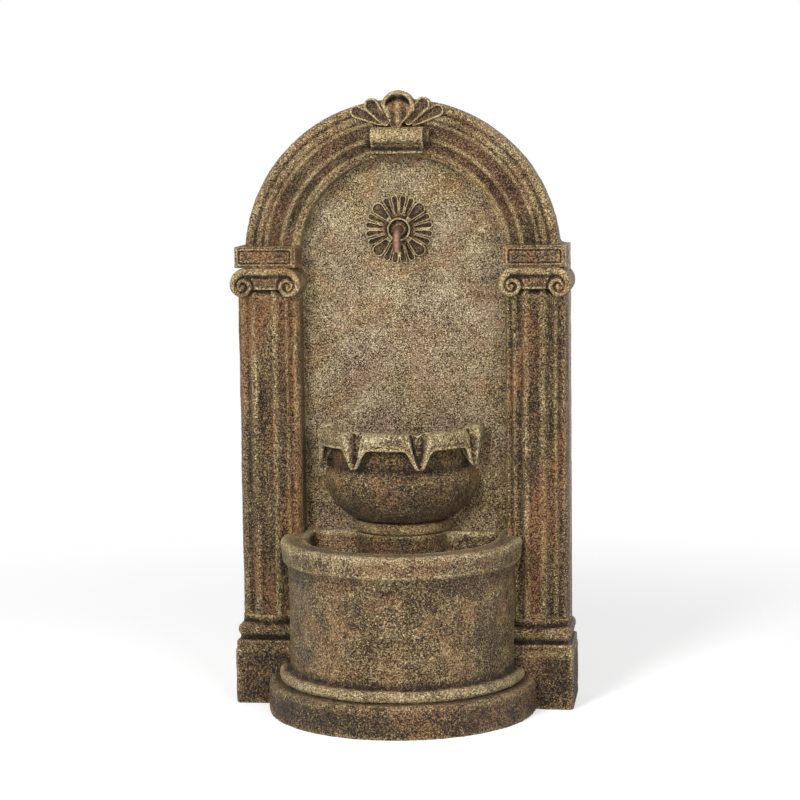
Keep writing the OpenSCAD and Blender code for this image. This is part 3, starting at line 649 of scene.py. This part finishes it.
@dataclass
class Casting:
    """One cast member, rebuilt from its solid with softened arrises and a rough skin."""

    node: str
    finish: bpy.types.Material
    grade: Grade = Grade.MEDIUM
    soften: int = 4
    body: str = FRONT_BODY
    slot: str = "cast_stone"
    skin: float = 0.0016
    lumps: float = 0.0016
    weather: float = 0.0
    streak: float = 9.0
    bed: float = 0.0
    top: float = 0.0
    rebuild: bool = True

    def build(self) -> bpy.types.Object:
        """Builds and dresses the member."""
        return self.finish_off(self.rough_shape())

    def rough_shape(self) -> bpy.types.Object:
        """Makes the closed mesh that the casting starts from: here, a copy of its solid."""
        return node_copy(self.node, f"{self.node}_cast")

    def carve(self, piece: bpy.types.Object) -> None:
        """Carves the rebuilt mesh, where a member has carving of its own."""

    def touch_up(self, piece: bpy.types.Object) -> None:
        """Corrects what the finish reads from the mesh, where a member needs it."""

    def seat(self, piece: bpy.types.Object) -> None:
        """Lets the softened ends reach a little into the members below and above.

        Args:
            piece: the mesh.
        """
        low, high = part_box(self.node)
        places = points(piece)
        height = places[:, 2]
        below = np.clip(1 - (height - low.z) / SEAT_REACH, 0, 1) * self.bed
        above = np.clip(1 - (high.z - height) / SEAT_REACH, 0, 1) * self.top
        places[:, 2] = height - below + above
        move_points(piece, places)

    def hold_in(self, piece: bpy.types.Object) -> None:
        """Keeps the rough skin inside the box of the member's solid.

        Args:
            piece: the mesh.
        """
        low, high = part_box(self.node)
        floor = np.array(low) - np.array([0, 0, self.bed])
        roof = np.array(high) + np.array([0, 0, self.top])
        move_points(piece, np.clip(points(piece), floor, roof))

    def regrid(self, piece: bpy.types.Object) -> None:
        """Rebuilds the mesh in even cells of the member's grade."""
        apply(piece, "REMESH", mode="VOXEL", voxel_size=self.grade.value, use_smooth_shade=True)

    def roughen(self, piece: bpy.types.Object) -> None:
        """Gives the mesh its lumps, its pitted skin and, on a column, its long weathered streaks.

        Args:
            piece: the mesh.
        """
        for texture, depth in ((LUMP_CLOUDS, self.lumps), (SKIN_CLOUDS, self.skin)):
            apply(piece, "DISPLACE", texture=texture, texture_coords="LOCAL", mid_level=0.5, strength=depth)
        if self.weather:
            long = bpy.data.objects.new("streak_place", None)
            bpy.context.scene.collection.objects.link(long)
            long.scale = (1, 1, self.streak)
            bpy.context.view_layer.update()
            apply(
                piece, "DISPLACE", texture=STREAK_CLOUDS, texture_coords="OBJECT", texture_coords_object=long,
                mid_level=0.5, strength=self.weather,
            )
            bpy.data.objects.remove(long)

    def finish_off(self, piece: bpy.types.Object) -> bpy.types.Object:
        """Softens, roughens and dresses a welded mesh.

        Args:
            piece: the mesh.

        Returns:
            The finished object.
        """
        if self.rebuild:
            self.regrid(piece)
        self.carve(piece)
        apply(piece, "SMOOTH", factor=0.5, iterations=self.soften)
        self.seat(piece)
        self.roughen(piece)
        self.hold_in(piece)
        relief(piece, self.grade.value)
        self.touch_up(piece)
        pick(piece)
        bpy.ops.object.shade_smooth()
        piece.data.materials.clear()
        piece.data.materials.append(self.finish)
        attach(piece, self.body)
        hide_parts(self.node)
        log.info("%s: %d points, %d faces", piece.name, len(piece.data.vertices), len(piece.data.polygons))
        return piece


LUMP_CLOUDS = clouds("lumps", 0.030)
SKIN_CLOUDS = clouds("skin", 0.0060, 3)
STREAK_CLOUDS = clouds("streaks", 0.011, 2)


class Finishes:
    """Every finish on the fountain."""

    def __init__(self) -> None:
        """Builds them all."""
        self.basin = StoneFinish("basin stone", Wash.BASIN).build()
        self.arch = StoneFinish(
            "arch stone", Wash.ARCH, crevice_shade_and_wash=0.12, rub=0.12, pitting=0.7, body=0.06
        ).build()
        # The niche face is darker towards the bottom: painted shade of the recess behind the bowl, with a
        # darker wash there.
        self.panel = StoneFinish("niche stone", Wash.PANEL, rise=(0.35, 0.95, 0.13)).build()
        self.column = StoneFinish(
            "column stone", Wash.COLUMN, streak=4.0, crevice_shade_and_wash=0.12, rub=0.10, body=0.16
        ).build()
        self.block = StoneFinish("block stone", Wash.BLOCK, pitting=0.7, crevice_shade_and_wash=0.16).build()
        self.foot = StoneFinish("foot stone", Wash.FOOT).build()
        self.bowl = StoneFinish("bowl stone", Wash.BOWL, crevice_shade_and_wash=0.16).build()
        self.lip = StoneFinish("lip stone", Wash.LIP).build()
        self.leaf = StoneFinish("leaf stone", Wash.LEAF, crevice_shade_and_wash=0.20, rub=0.30, pitting=0.25).build()
        self.crest = StoneFinish("crest stone", Wash.CREST, crevice_shade_and_wash=0.12, rub=0.26, pitting=0.3).build()
        self.roll = StoneFinish("roll stone", Wash.ROLL, pitting=0.5, crevice_shade_and_wash=0.38).build()
        self.copper = MetalFinish("copper", (0.25, 0.145, 0.10), (0.12, 0.07, 0.048), 0.6).build()
        self.brass = MetalFinish("brass", (0.78, 0.60, 0.26), (0.40, 0.30, 0.13), 0.28).build()
        self.steel = MetalFinish("plated steel", (0.72, 0.72, 0.74), (0.42, 0.42, 0.44), 0.26).build()
        self.rubber = MouldedFinish("black rubber", (0.018, 0.018, 0.019), (0.10, 0.095, 0.085), 0.62).build()
        self.black = MouldedFinish("black plastic", (0.014, 0.015, 0.017), (0.08, 0.08, 0.075), 0.42).build()
        self.white = MouldedFinish("white plastic", (0.78, 0.77, 0.72), (0.55, 0.52, 0.44), 0.40).build()
        self.vinyl = VinylFinish("clear vinyl").build()


@dataclass
class RoundArch(Casting):
    """The round arch: five worn ridges with coves between them, swept from impost to impost.

    Sizes are in millimetres, from the centre of the arch and from the niche face.
    """

    centre: float = 862.0
    inner: float = 197.0
    width: float = 106.0
    face: float = 45.0
    cove: float = 7.0
    ridges: tuple[tuple[float, float, float], ...] = (
        (0.07, 0.15, 3), (0.30, 0.375, 3), (0.59, 0.665, 3), (0.685, 0.81, 3), (0.84, 1, 5),
    )
    steps: int = 560
    rows: int = 118

    def outline(self) -> np.ndarray:
        """Draws the cross-section.

        Returns:
            Radius and height over the niche face, in evenly spaced rows.
        """
        marks = [(self.inner, 0.0), (self.inner, self.face - 7), (self.inner + 2.5, self.face - 1.5)]
        last = None
        for start, end, proud in self.ridges:
            if last is not None:
                deep = min(self.cove, (start - last) * self.width / 2)
                for share in np.linspace(0.08, 0.92, 9):
                    place = last + share * (start - last)
                    sink = deep * math.sin(math.pi * share) ** 0.7
                    marks.append((self.inner + place * self.width, self.face - sink))
            for share in np.linspace(0, 1, 7):
                place = start + share * (end - start)
                rise = proud * math.sin(math.pi * share) ** 0.6
                marks.append((self.inner + place * self.width, self.face + rise))
            last = end
        marks.append((self.inner + self.width, 0.0))
        return even_line(np.array(marks), self.rows)

    def rough_shape(self) -> bpy.types.Object:
        """Sweeps the cross-section round, ending level on the imposts.

        Returns:
            The closed arch.
        """
        low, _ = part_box(self.node)
        outline = self.outline() * MM
        radius, proud = outline[:, 0], outline[:, 1]
        centre = self.centre * MM
        start = np.arcsin((low.z - centre) / radius)
        sections = []
        for share in np.linspace(0, 1, self.steps + 1):
            turn = start + share * (math.pi - 2 * start)
            place = (radius * np.cos(turn), NICHE_Y - proud, centre + radius * np.sin(turn))
            sections.append(np.stack(place, axis=1))
        return loft(f"{self.node}_cast", sections)


@dataclass
class CarvedFace(Casting):
    """A member whose front is carved with shallow relief, measured from its own middle.

    Sizes are in millimetres.
    """

    side: int = 1
    reach: float = 9.0

    def grid(self, piece: bpy.types.Object) -> tuple[np.ndarray, np.ndarray, np.ndarray, np.ndarray]:
        """Finds the points near the front.

        Args:
            piece: the mesh.

        Returns:
            All points, which of them are near the front, and how far out and up those are.
        """
        low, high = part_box(self.node)
        places = points(piece)
        front = places[:, 1] < low.y + self.reach * MM
        out = (places[front, 0] - (low.x + high.x) / 2) * self.side / MM
        return places, front, out, (places[front, 2] - low.z) / MM


@dataclass
class Capital(CarvedFace):
    """A capital whose top band rolls up at each side into a tubular scroll."""

    eye: tuple[float, float] = (43.2, 20.0)
    tall: float = 56.0
    band: float = 15.0
    knob: float = 4.4
    deep: float = 8.6
    ground: float = 0.8
    ground_radius: float = 22.0
    fillet: float = 2.0
    panel: float = 4.4
    skirt: float = 5.8
    skirt_top: float = 19.0
    spiral: Curve = (
        (0, 0.12, 0.25, 0.5, 0.75, 1.0, 1.25, 1.5),
        (28.5, 22.5, 18.4, 14.3, 13.2, 11.2, 8.2, 5.6),
        (15.0, 14.0, 12.6, 10.6, 9.6, 8.0, 6.4, 5.0),
    )

    def carve(self, piece: bpy.types.Object) -> None:
        """Models the scrolls, the band and the sunk panel on the front.

        Args:
            piece: the mesh.
        """
        places, front, out, up = self.grid(piece)
        eye_x, eye_z = self.eye
        from_eye = np.hypot(np.abs(out) - eye_x, up - eye_z)
        rise = np.where(up > self.skirt_top, self.panel, self.skirt)
        rise = np.where(up > self.tall - self.band - 6, self.fillet, rise)
        rise = np.where(from_eye < self.ground_radius, self.ground, rise)
        turns = np.linspace(0, 1.5, 110)
        reach, thick = (np.interp(turns, self.spiral[0], row) for row in self.spiral[1:])
        angle = np.radians(90 - 360 * turns)
        path = np.stack([eye_x + reach * np.cos(angle), eye_z + reach * np.sin(angle), thick / 2], axis=1)
        straight = [(x, self.tall - self.band / 2, self.band / 2) for x in np.linspace(0, eye_x, 24)]
        for x, z, half in np.vstack([path, straight]):
            rise = np.maximum(rise, tube(np.hypot(np.abs(out) - x, up - z) / half, 2.4, 6.2))
        rise = np.maximum(rise, tube(from_eye / self.knob, 3.4, 5.2))
        low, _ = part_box(self.node)
        places[front, 1] = low.y + (self.deep - rise) * MM
        move_points(piece, places)
        self.regrid(piece)


@dataclass
class Impost(CarvedFace):
    """An impost block with a sunk line round its face."""

    reach: float = 2.5
    half: tuple[float, float] = (49.0, 11.5)
    corner: float = 4.0
    line: float = 1.3
    sink: float = 2.6
    # How dark the sunk line is: painted shade in the groove, with the wash in it.
    stain: float = 1.6

    def sunk(self, out: np.ndarray, up: np.ndarray) -> np.ndarray:
        """Measures how deep in the sunk line each point lies, from 0 to 1."""
        low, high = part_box(self.node)
        level = up - (high.z - low.z) / MM / 2
        wide, tall = (np.maximum(np.abs(v) - h + self.corner, 0) for v, h in zip((out, level), self.half))
        nearest = np.maximum(np.abs(out) - self.half[0], np.abs(level) - self.half[1])
        inside = np.minimum(nearest + self.corner, 0)
        return bell(np.hypot(wide, tall) + inside - self.corner, self.line)

    def carve(self, piece: bpy.types.Object) -> None:
        """Sinks the line and wears the block's arrises.

        Args:
            piece: the mesh.
        """
        apply(piece, "SMOOTH", factor=0.5, iterations=16)
        places, front, out, up = self.grid(piece)
        places[front, 1] += self.sink * MM * self.sunk(out, up)
        move_points(piece, places)

    def touch_up(self, piece: bpy.types.Object) -> None:
        """Darkens the sunk line with painted shade, together with the dark wash that settles in it.

        Args:
            piece: the mesh.
        """
        _, front, out, up = self.grid(piece)
        share = np.zeros(len(front))
        share[front] = self.stain * self.sunk(out, up)
        deepen(piece, share)


@dataclass
class SubAssembly:
    """Castings that are built and dressed together."""

    finishes: Finishes

    def members(self) -> list[Casting]:
        """Lists the castings, as each sub-assembly has its own."""
        raise NotImplementedError

    def build(self) -> list[bpy.types.Object]:
        """Builds and dresses every casting, and returns the pieces."""
        return [member.build() for member in self.members()]


@dataclass
class Wall(SubAssembly):
    """The hollow back wall with its niche face, and the arch in front of it."""

    def members(self) -> list[Casting]:
        """Lists the wall and the arch."""
        return [
            Casting("back_wall", self.finishes.panel, Grade.WALL, soften=2, skin=0.0010, lumps=0.003),
            RoundArch("arch_moulding", self.finishes.arch, Grade.FINE, soften=2, bed=0.002, rebuild=False),
        ]


@dataclass
class Pilaster(SubAssembly):
    """One column with its plinth, base, shaft, scrolled capital and impost."""

    side: str

    def members(self) -> list[Casting]:
        """Lists the column from the floor up."""
        side, finishes = self.side, self.finishes
        carved = {"skin": 0.0012, "slot": "rusty_stone", "side": 1 if side == "right" else -1}
        worn = {"soften": 9, "weather": 0.004, "slot": "rusty_stone"}
        return [
            Casting(f"{side}_plinth", finishes.foot, Grade.COARSE, soften=5, lumps=0.003),
            Casting(f"{side}_column_base", finishes.foot, soften=5, bed=0.002, lumps=0.003),
            Casting(f"{side}_shaft", finishes.column, bed=0.003, top=0.003, **worn),
            Capital(f"{side}_capital", finishes.block, Grade.FINE, soften=2, **carved),
            Impost(f"{side}_impost", finishes.block, Grade.CARVED, soften=1, **carved),
        ]


@dataclass
class ShellCrest(Casting):
    """The shell over the arch: a hooded middle lobe and two thin-rimmed petals on each side.

    Sizes are in millimetres, from the foot of the crest on the face of the arch.
    """

    petals: Curve = (
        (-34, 9, -80, 29.5, 6.5, 12.5, 14),
        (29, 8, 74, 30.0, 6.5, 12.5, 14),
        (-25, 9, -51, 40.5, 7.5, 14.5, 18),
        (19, 10, 47, 42, 7.5, 14.5, 18),
    )
    hood: tuple[float, ...] = (-5, 8, 0, 36.5, 12, 32.5, 25)
    scoop: float = 5.2
    petal_bevel: float = 3.0
    hood_bevel: float = 4.0
    face: float = 17.0
    brow: float = 10.0
    pitch: float = 0.9
    root: float = 7.0

    def hold_in(self, piece: bpy.types.Object) -> None:
        """Keeps the shell under the top of the fountain, and leaves its sides and its bed free.

        Args:
            piece: the mesh.
        """
        places = points(piece)
        places[:, 2] = np.minimum(places[:, 2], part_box(self.node)[1].z)
        move_points(piece, places)

    @staticmethod
    def spread(across: np.ndarray, up: np.ndarray, petal: Sequence[float]) -> tuple[np.ndarray, np.ndarray]:
        """Measures a grid against one petal.

        Args:
            across: each point's sideways place.
            up: each point's height.
            petal: foot and tip, the radius at each, and the height of the rim.

        Returns:
            How far out each point is, 1 on the petal's edge, and how far along, from foot to tip.
        """
        x0, z0, x1, z1, narrow, wide, _ = petal
        long = np.hypot(x1 - x0, z1 - z0)
        along = np.clip(((across - x0) * (x1 - x0) + (up - z0) * (z1 - z0)) / long ** 2, 0, 1)
        gap = np.hypot(across - x0 - along * (x1 - x0), up - z0 - along * (z1 - z0))
        return gap / (narrow + (wide - narrow) * along ** 0.85), along

    def height(self, across: np.ndarray, up: np.ndarray) -> np.ndarray:
        """Works out how far the shell stands out of the arch, or below 0 beside it.

        Args:
            across: each point's sideways place.
            up: each point's height.

        Returns:
            The height of each point.
        """
        tall = np.full(across.shape, -1.0)
        for petal in self.petals:
            out, along = self.spread(across, up, petal)
            rim = petal[6] * (0.75 + 0.25 * along)
            bowl = rim - self.scoop * (1 - smooth((out - 0.42) / 0.46)) * (0.35 + 0.65 * along)
            bowl = bowl - self.petal_bevel * smooth((out - 0.88) / 0.12)
            tall = np.maximum(tall, np.where(out < 1, bowl, -1))
        out, along = self.spread(across, up, self.hood)
        rim = self.hood[6] * (0.66 + 0.34 * along)
        inside = self.face + 5.5 * bell(up - 34, 15) - 5 * smooth((14 - up) / 14)
        inside = inside + 2.2 * bell(across, 5) - 2.4 * bell(np.abs(across) - 12, 6)
        fold = bell(up - 53 + 0.012 * across ** 2, 4.2) * smooth((25 - np.abs(across)) / 6)
        inside = inside - self.brow * fold
        face = inside + (rim - inside) * smooth((out - 0.64) / 0.18)
        face = face - self.hood_bevel * smooth((out - 0.88) / 0.12)
        return np.maximum(tall, np.where(out < 1, face, -1))

    def rough_shape(self) -> bpy.types.Object:
        """Raises the shell from a grid and closes it down to the arch.

        Returns:
            The closed shell.
        """
        low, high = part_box(self.node)
        across = np.arange(-96, 92, self.pitch)
        up = np.arange(0, (high.z - low.z) / MM + self.pitch, self.pitch)
        wide, tall = np.meshgrid(across, np.minimum(up, (high.z - low.z) / MM), indexing="ij")
        rise = self.height(wide, tall)
        solid = rise > 0
        cells = solid[:-1, :-1] & solid[1:, :-1] & solid[:-1, 1:] & solid[1:, 1:]
        number = np.arange(wide.size).reshape(wide.shape)
        top = np.stack([wide * MM, high.y - rise * MM, low.z + tall * MM], axis=-1).reshape(-1, 3)
        bed = top.copy()
        bed[:, 1] = high.y + self.root * MM
        around = (number[:-1, :-1], number[1:, :-1], number[1:, 1:], number[:-1, 1:])
        corners = np.stack(around, axis=-1)[cells]
        faces = corners.tolist() + (corners[:, ::-1] + wide.size).tolist()
        sides = {side: None for cell in corners.tolist() for side in zip(cell, cell[1:] + cell[:1])}
        rim = [(first, second) for first, second in sides if (second, first) not in sides]
        faces += [(second, first, first + wide.size, second + wide.size) for first, second in rim]
        used = sorted({point for face in faces for point in face})
        again = {point: place for place, point in enumerate(used)}
        faces = [[again[point] for point in face] for face in faces]
        return mesh_piece(f"{self.node}_cast", np.vstack([top, bed])[used], faces)


@dataclass
class ScrollRoll(Casting):
    """The rolled scroll under the shell, rubbed bright on its face, with painted shade at its ends and
    underneath.
    """

    middle: float = -3.0
    half: float = 49.0
    under: float = 14.0

    def touch_up(self, piece: bpy.types.Object) -> None:
        """Paints shade on the ends and in the hollow below the roll.

        Args:
            piece: the mesh.
        """
        places = points(piece).astype(np.float64) / MM
        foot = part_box(self.node)[0].z / MM
        ends = smooth((np.abs(places[:, 0] - self.middle) - self.half) / 3)
        below = smooth((foot + self.under - places[:, 2]) / 5) * smooth((places[:, 2] - foot - 1.5) / 3)
        deepen(piece, np.maximum(ends, 0.9 * below))


@dataclass
class Crown(SubAssembly):
    """The shell crest, its scroll roll and the leaf rosette round the spout."""

    def members(self) -> list[Casting]:
        """Lists the ornaments."""
        return [
            ScrollRoll("scroll_roll", self.finishes.roll, Grade.CARVED, soften=8, lumps=0.002),
            ShellCrest("shell_crest", self.finishes.crest, Grade.CARVED, soften=4, lumps=0.001, skin=0.001),
            Casting("spout_rosette", self.finishes.leaf, Grade.CARVED, soften=3, lumps=0.0006, skin=0.0008),
        ]


@dataclass
class DrapedLip(Casting):
    """The lip of the bowl: full rounded lobes that hang like cloth, with funnel-shaped pleats between.

    Sizes are in millimetres, from the middle of the bowl and from the floor.
    """

    pleats: tuple[float, ...] = (-74.5, -27.5, 19.5, 66.5)
    outer: float = 164.0
    neck: float = 136.0
    wall: float = 11.0
    foot: float = 511.0
    crest: float = 543.0
    hem: float = 506.0
    tip: float = 468.5
    ear: float = 4.5
    dip: float = 5.0
    fall: Curve = ((1.6, 3.6, 5.6, 7.6, 9.4, 12.0), (0.0, 0.15, 0.45, 0.76, 0.93, 1.0))
    pleat_width: Curve = ((0.1, 0.5, 1, 2), (0.2, 2.6, 4.2, 6.8))
    pleat_depth: Curve = ((0, 0.5, 1, 2), (3.0, 12.0, 19.0, 25.0))
    steps: int = 520
    rows: int = 110

    def section(self, angle: float) -> np.ndarray:
        """Works out the lip's cross-section at one angle.

        Args:
            angle: degrees round the bowl, 0 at the front.

        Returns:
            Radius and height of each row of points.
        """
        near = min(abs(angle - pleat) for pleat in self.pleats)
        hem = self.tip + (self.hem - self.tip) * np.interp(near, *self.fall)
        ear = self.ear * smooth((abs(angle + 4) - 73) / 10)
        dip = self.dip * smooth(1 - near / 6.5)
        top = self.crest - 3.5 + ear - dip
        inner = self.neck - self.wall
        outer, neck, foot = self.outer, self.neck, self.foot
        rough = np.array([
            (inner, foot), (inner, foot + 10), (inner + 1, top - 12), (inner + 9, top - 1), (neck + 10, top),
            (outer - 6, top - 2), (outer, top - 12), (outer, top - 22), (outer - 2, hem + 9),
            (outer - 0.5, hem + 4), (outer - 2, hem), (outer - 6, hem), (outer - 9, hem + 5),
            (outer - 11, min(hem + 24, foot + 2)), (neck + 5, foot + 8), (neck, foot + 5), (neck, foot),
        ])
        for _ in range(2):
            ahead, behind = rough[:-1] * 0.75 + rough[1:] * 0.25, rough[:-1] * 0.25 + rough[1:] * 0.75
            rough = np.vstack([rough[:1], np.stack([ahead, behind], axis=1).reshape(-1, 2), rough[-1:]])
        radius, height = even_line(rough, self.rows).T
        low = np.interp(height, (self.tip, self.hem, self.crest), (0.0, 1.0, 2.0))
        width, depth = np.interp(low, *self.pleat_width), np.interp(low, *self.pleat_depth)
        press = depth * smooth((width + 1.3 - near) / 2.6) * smooth((radius - inner - 6) / 16)
        radius = np.where(radius > self.neck + 4, np.maximum(radius - press, self.neck + 3), radius)
        return np.stack([radius, height], axis=1)

    def rough_shape(self) -> bpy.types.Object:
        """Lofts the lip through its sections.

        Returns:
            The closed lip.
        """
        low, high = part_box(self.node)
        middle = (low.x + high.x) / 2
        sections = []
        for angle in np.linspace(-90, 90, self.steps + 1):
            radius, height = self.section(float(angle)).T * MM
            turn = math.radians(angle)
            place = (middle + radius * math.sin(turn), NICHE_Y - radius * math.cos(turn), height)
            sections.append(np.stack(place, axis=1))
        return loft(f"{self.node}_cast", sections)


@dataclass
class Bowl(SubAssembly):
    """The half bowl with its draped lip, ring and stem."""

    def members(self) -> list[Casting]:
        """Lists the bowl's castings."""
        return [
            Casting("upper_bowl", self.finishes.bowl, soften=10),
            DrapedLip("bowl_lip", self.finishes.lip, Grade.FINE, soften=3, lumps=0.002, skin=0.0014),
            Casting("bowl_ring", self.finishes.block),
            Casting("bowl_stem", self.finishes.bowl, soften=1, skin=0.0004, lumps=0.0004, body="stem cover"),
        ]


@dataclass
class Basin(SubAssembly):
    """The basin and the slab under it."""

    def members(self) -> list[Casting]:
        """Lists the basin's castings."""
        return [
            Casting("basin", self.finishes.basin, Grade.BROAD, lumps=0.003),
            Casting("bottom_slab", self.finishes.foot, Grade.COARSE, soften=5, lumps=0.003),
        ]


@dataclass
class Plumbing:
    """The spout, pipes, hoses, clamps, drain plug and pump, which keep their solids."""

    finishes: Finishes

    def dress(self) -> None:
        """Gives each node its finish."""
        finishes = self.finishes
        nodes = {
            finishes.copper: ("spout_tube",),
            finishes.brass: ("spout_locknut", "spout_elbow"),
            finishes.steel: ("hose_clamps",),
            finishes.rubber: ("drain_plug", "spout_washer", "feed_grommet", "suction_cups", "cord_gland"),
            finishes.black: (
                "feed_pipe", "feed_elbow", "pump_housing", "pump_chamber_cover", "pump_strainer", "flow_dial",
            ),
            finishes.white: ("impeller", "impeller_shaft"),
            finishes.vinyl: ("stem_hose", "wall_hose"),
        }
        for finish, names in nodes.items():
            for name in names:
                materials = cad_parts[name].data.materials
                materials.clear()
                materials.append(finish)
                log.info("%s: %s", name, finish.name)


@dataclass(frozen=True)
class Studio:
    """The camera at the photograph's angle, soft lamps, and a white floor and background."""

    azimuth: float = 8.0
    elevation: float = 6.5
    roll: float = -0.7
    distance: float = 4.462
    lens: float = 103.5
    aim: Place = (-0.0112, 0.0, 0.5862)
    lamps: tuple[tuple[str, Place, float, float], ...] = (
        ("key", (-1.3, -3.7, 2.2), 146.0, 0.9),
        ("fill", (2.0, -3.2, 1.5), 62.0, 1.8),
        ("top", (0.2, -0.9, 3.4), 14.0, 2.0),
    )
    lit: Place = (0, 0, 0.55)
    sky: float = 0.38
    ground: Colour = (0.62, 0.62, 0.62)
    lift: float = 0.52
    fade: tuple[float, float] = (0.9, 2.2)

    def camera(self) -> None:
        """Places the camera."""
        azimuth, elevation, roll = (math.radians(a) for a in (self.azimuth, self.elevation, self.roll))
        level = math.cos(elevation)
        back = Vector((math.sin(azimuth) * level, -math.cos(azimuth) * level, math.sin(elevation)))
        right = Vector((0, 0, 1)).cross(back).normalized()
        up = back.cross(right)
        turned = right * math.cos(roll) + up * math.sin(roll)
        upright = up * math.cos(roll) - right * math.sin(roll)
        data = bpy.data.cameras.new("camera")
        data.lens = self.lens
        data.sensor_width = 36.0
        data.clip_end = 60.0
        eye = bpy.data.objects.new("camera", data)
        bpy.context.scene.collection.objects.link(eye)
        target = Vector(self.aim) + Vector((0, NICHE_Y, 0))
        place = Matrix((turned, upright, back)).transposed().to_4x4()
        place.translation = target + back * self.distance
        eye.matrix_world = place
        bpy.context.scene.camera = eye

    def lamp(self, name: str, place: Place, power: float, size: float) -> None:
        """Hangs one soft lamp aimed at the middle of the fountain.

        Args:
            name: the lamp's name.
            place: where it hangs, in metres.
            power: watts.
            size: the side of its square.
        """
        data = bpy.data.lights.new(name, "AREA")
        data.energy = power
        data.size = size
        lamp = bpy.data.objects.new(name, data)
        bpy.context.scene.collection.objects.link(lamp)
        lamp.location = place
        lamp.rotation_euler = (Vector(self.lit) - Vector(place)).to_track_quat("-Z", "Y").to_euler()

    def world(self) -> None:
        """Lights the scene from all round, and shows white where the camera sees past the floor."""
        world = bpy.data.worlds.new("studio")
        world.use_nodes = True
        board = Board(world.node_tree)
        soft = board.nodes["Background"]
        board.put(soft.inputs["Color"], (1.0, 1.0, 1.0))
        board.put(soft.inputs["Strength"], self.sky)
        white = board.node("ShaderNodeBackground", {}, {"Color": (1.0, 1.0, 1.0), "Strength": 1.0})
        seen = board.node("ShaderNodeLightPath", {}, {}, "Is Camera Ray")
        for kind in ("Is Glossy Ray", "Is Transmission Ray"):
            ray = board.node("ShaderNodeLightPath", {}, {}, kind)
            seen = board.node("ShaderNodeMath", {"operation": "MAXIMUM"}, {0: seen, 1: ray})
        both = board.blend(seen, Value(board, soft.outputs[0]), white)
        board.put(board.nodes["World Output"].inputs["Surface"], both)
        bpy.context.scene.world = world

    def floor(self) -> None:
        """Lays a pale floor that renders white and keeps the shadow."""
        deselect()
        bpy.ops.mesh.primitive_plane_add(size=30, location=(0, 0, 0))
        floor = bpy.context.object
        floor.name = "studio_floor"
        sheet = Sheet("studio floor")
        sheet.set(Base_Color=self.ground, Roughness=0.9, Specular_IOR_Level=0.0)
        seen = sheet.node("ShaderNodeLightPath", {}, {}, "Is Camera Ray")
        glow = sheet.node("ShaderNodeEmission", {}, {"Strength": seen * self.lift})
        both = sheet.node("ShaderNodeAddShader", {}, {0: Value(sheet, sheet.shader.outputs[0]), 1: glow})
        white = sheet.node("ShaderNodeEmission", {}, {"Strength": 1.0})
        away = sheet.node("ShaderNodeVectorMath", {"operation": "LENGTH"}, {0: sheet.place}, "Value")
        faded = sheet.blend(away.between(*self.fade), both, white)
        sheet.put(sheet.nodes["Material Output"].inputs["Surface"], faded)
        floor.data.materials.append(sheet.material)

    def build(self) -> None:
        """Sets up the whole studio."""
        self.camera()
        for lamp in self.lamps:
            self.lamp(*lamp)
        self.world()
        self.floor()
        bpy.context.scene.view_settings.view_transform = "Standard"


def main() -> None:
    """Builds every sub-assembly in order."""
    logging.basicConfig(level=logging.INFO, format="%(message)s")
    Studio().build()
    finishes = Finishes()
    Wall(finishes).build()
    for side in ("left", "right"):
        Pilaster(finishes, side).build()
    for group in (Crown, Bowl, Basin):
        group(finishes).build()
    Plumbing(finishes).dress()


if __name__ == "__main__":
    main()
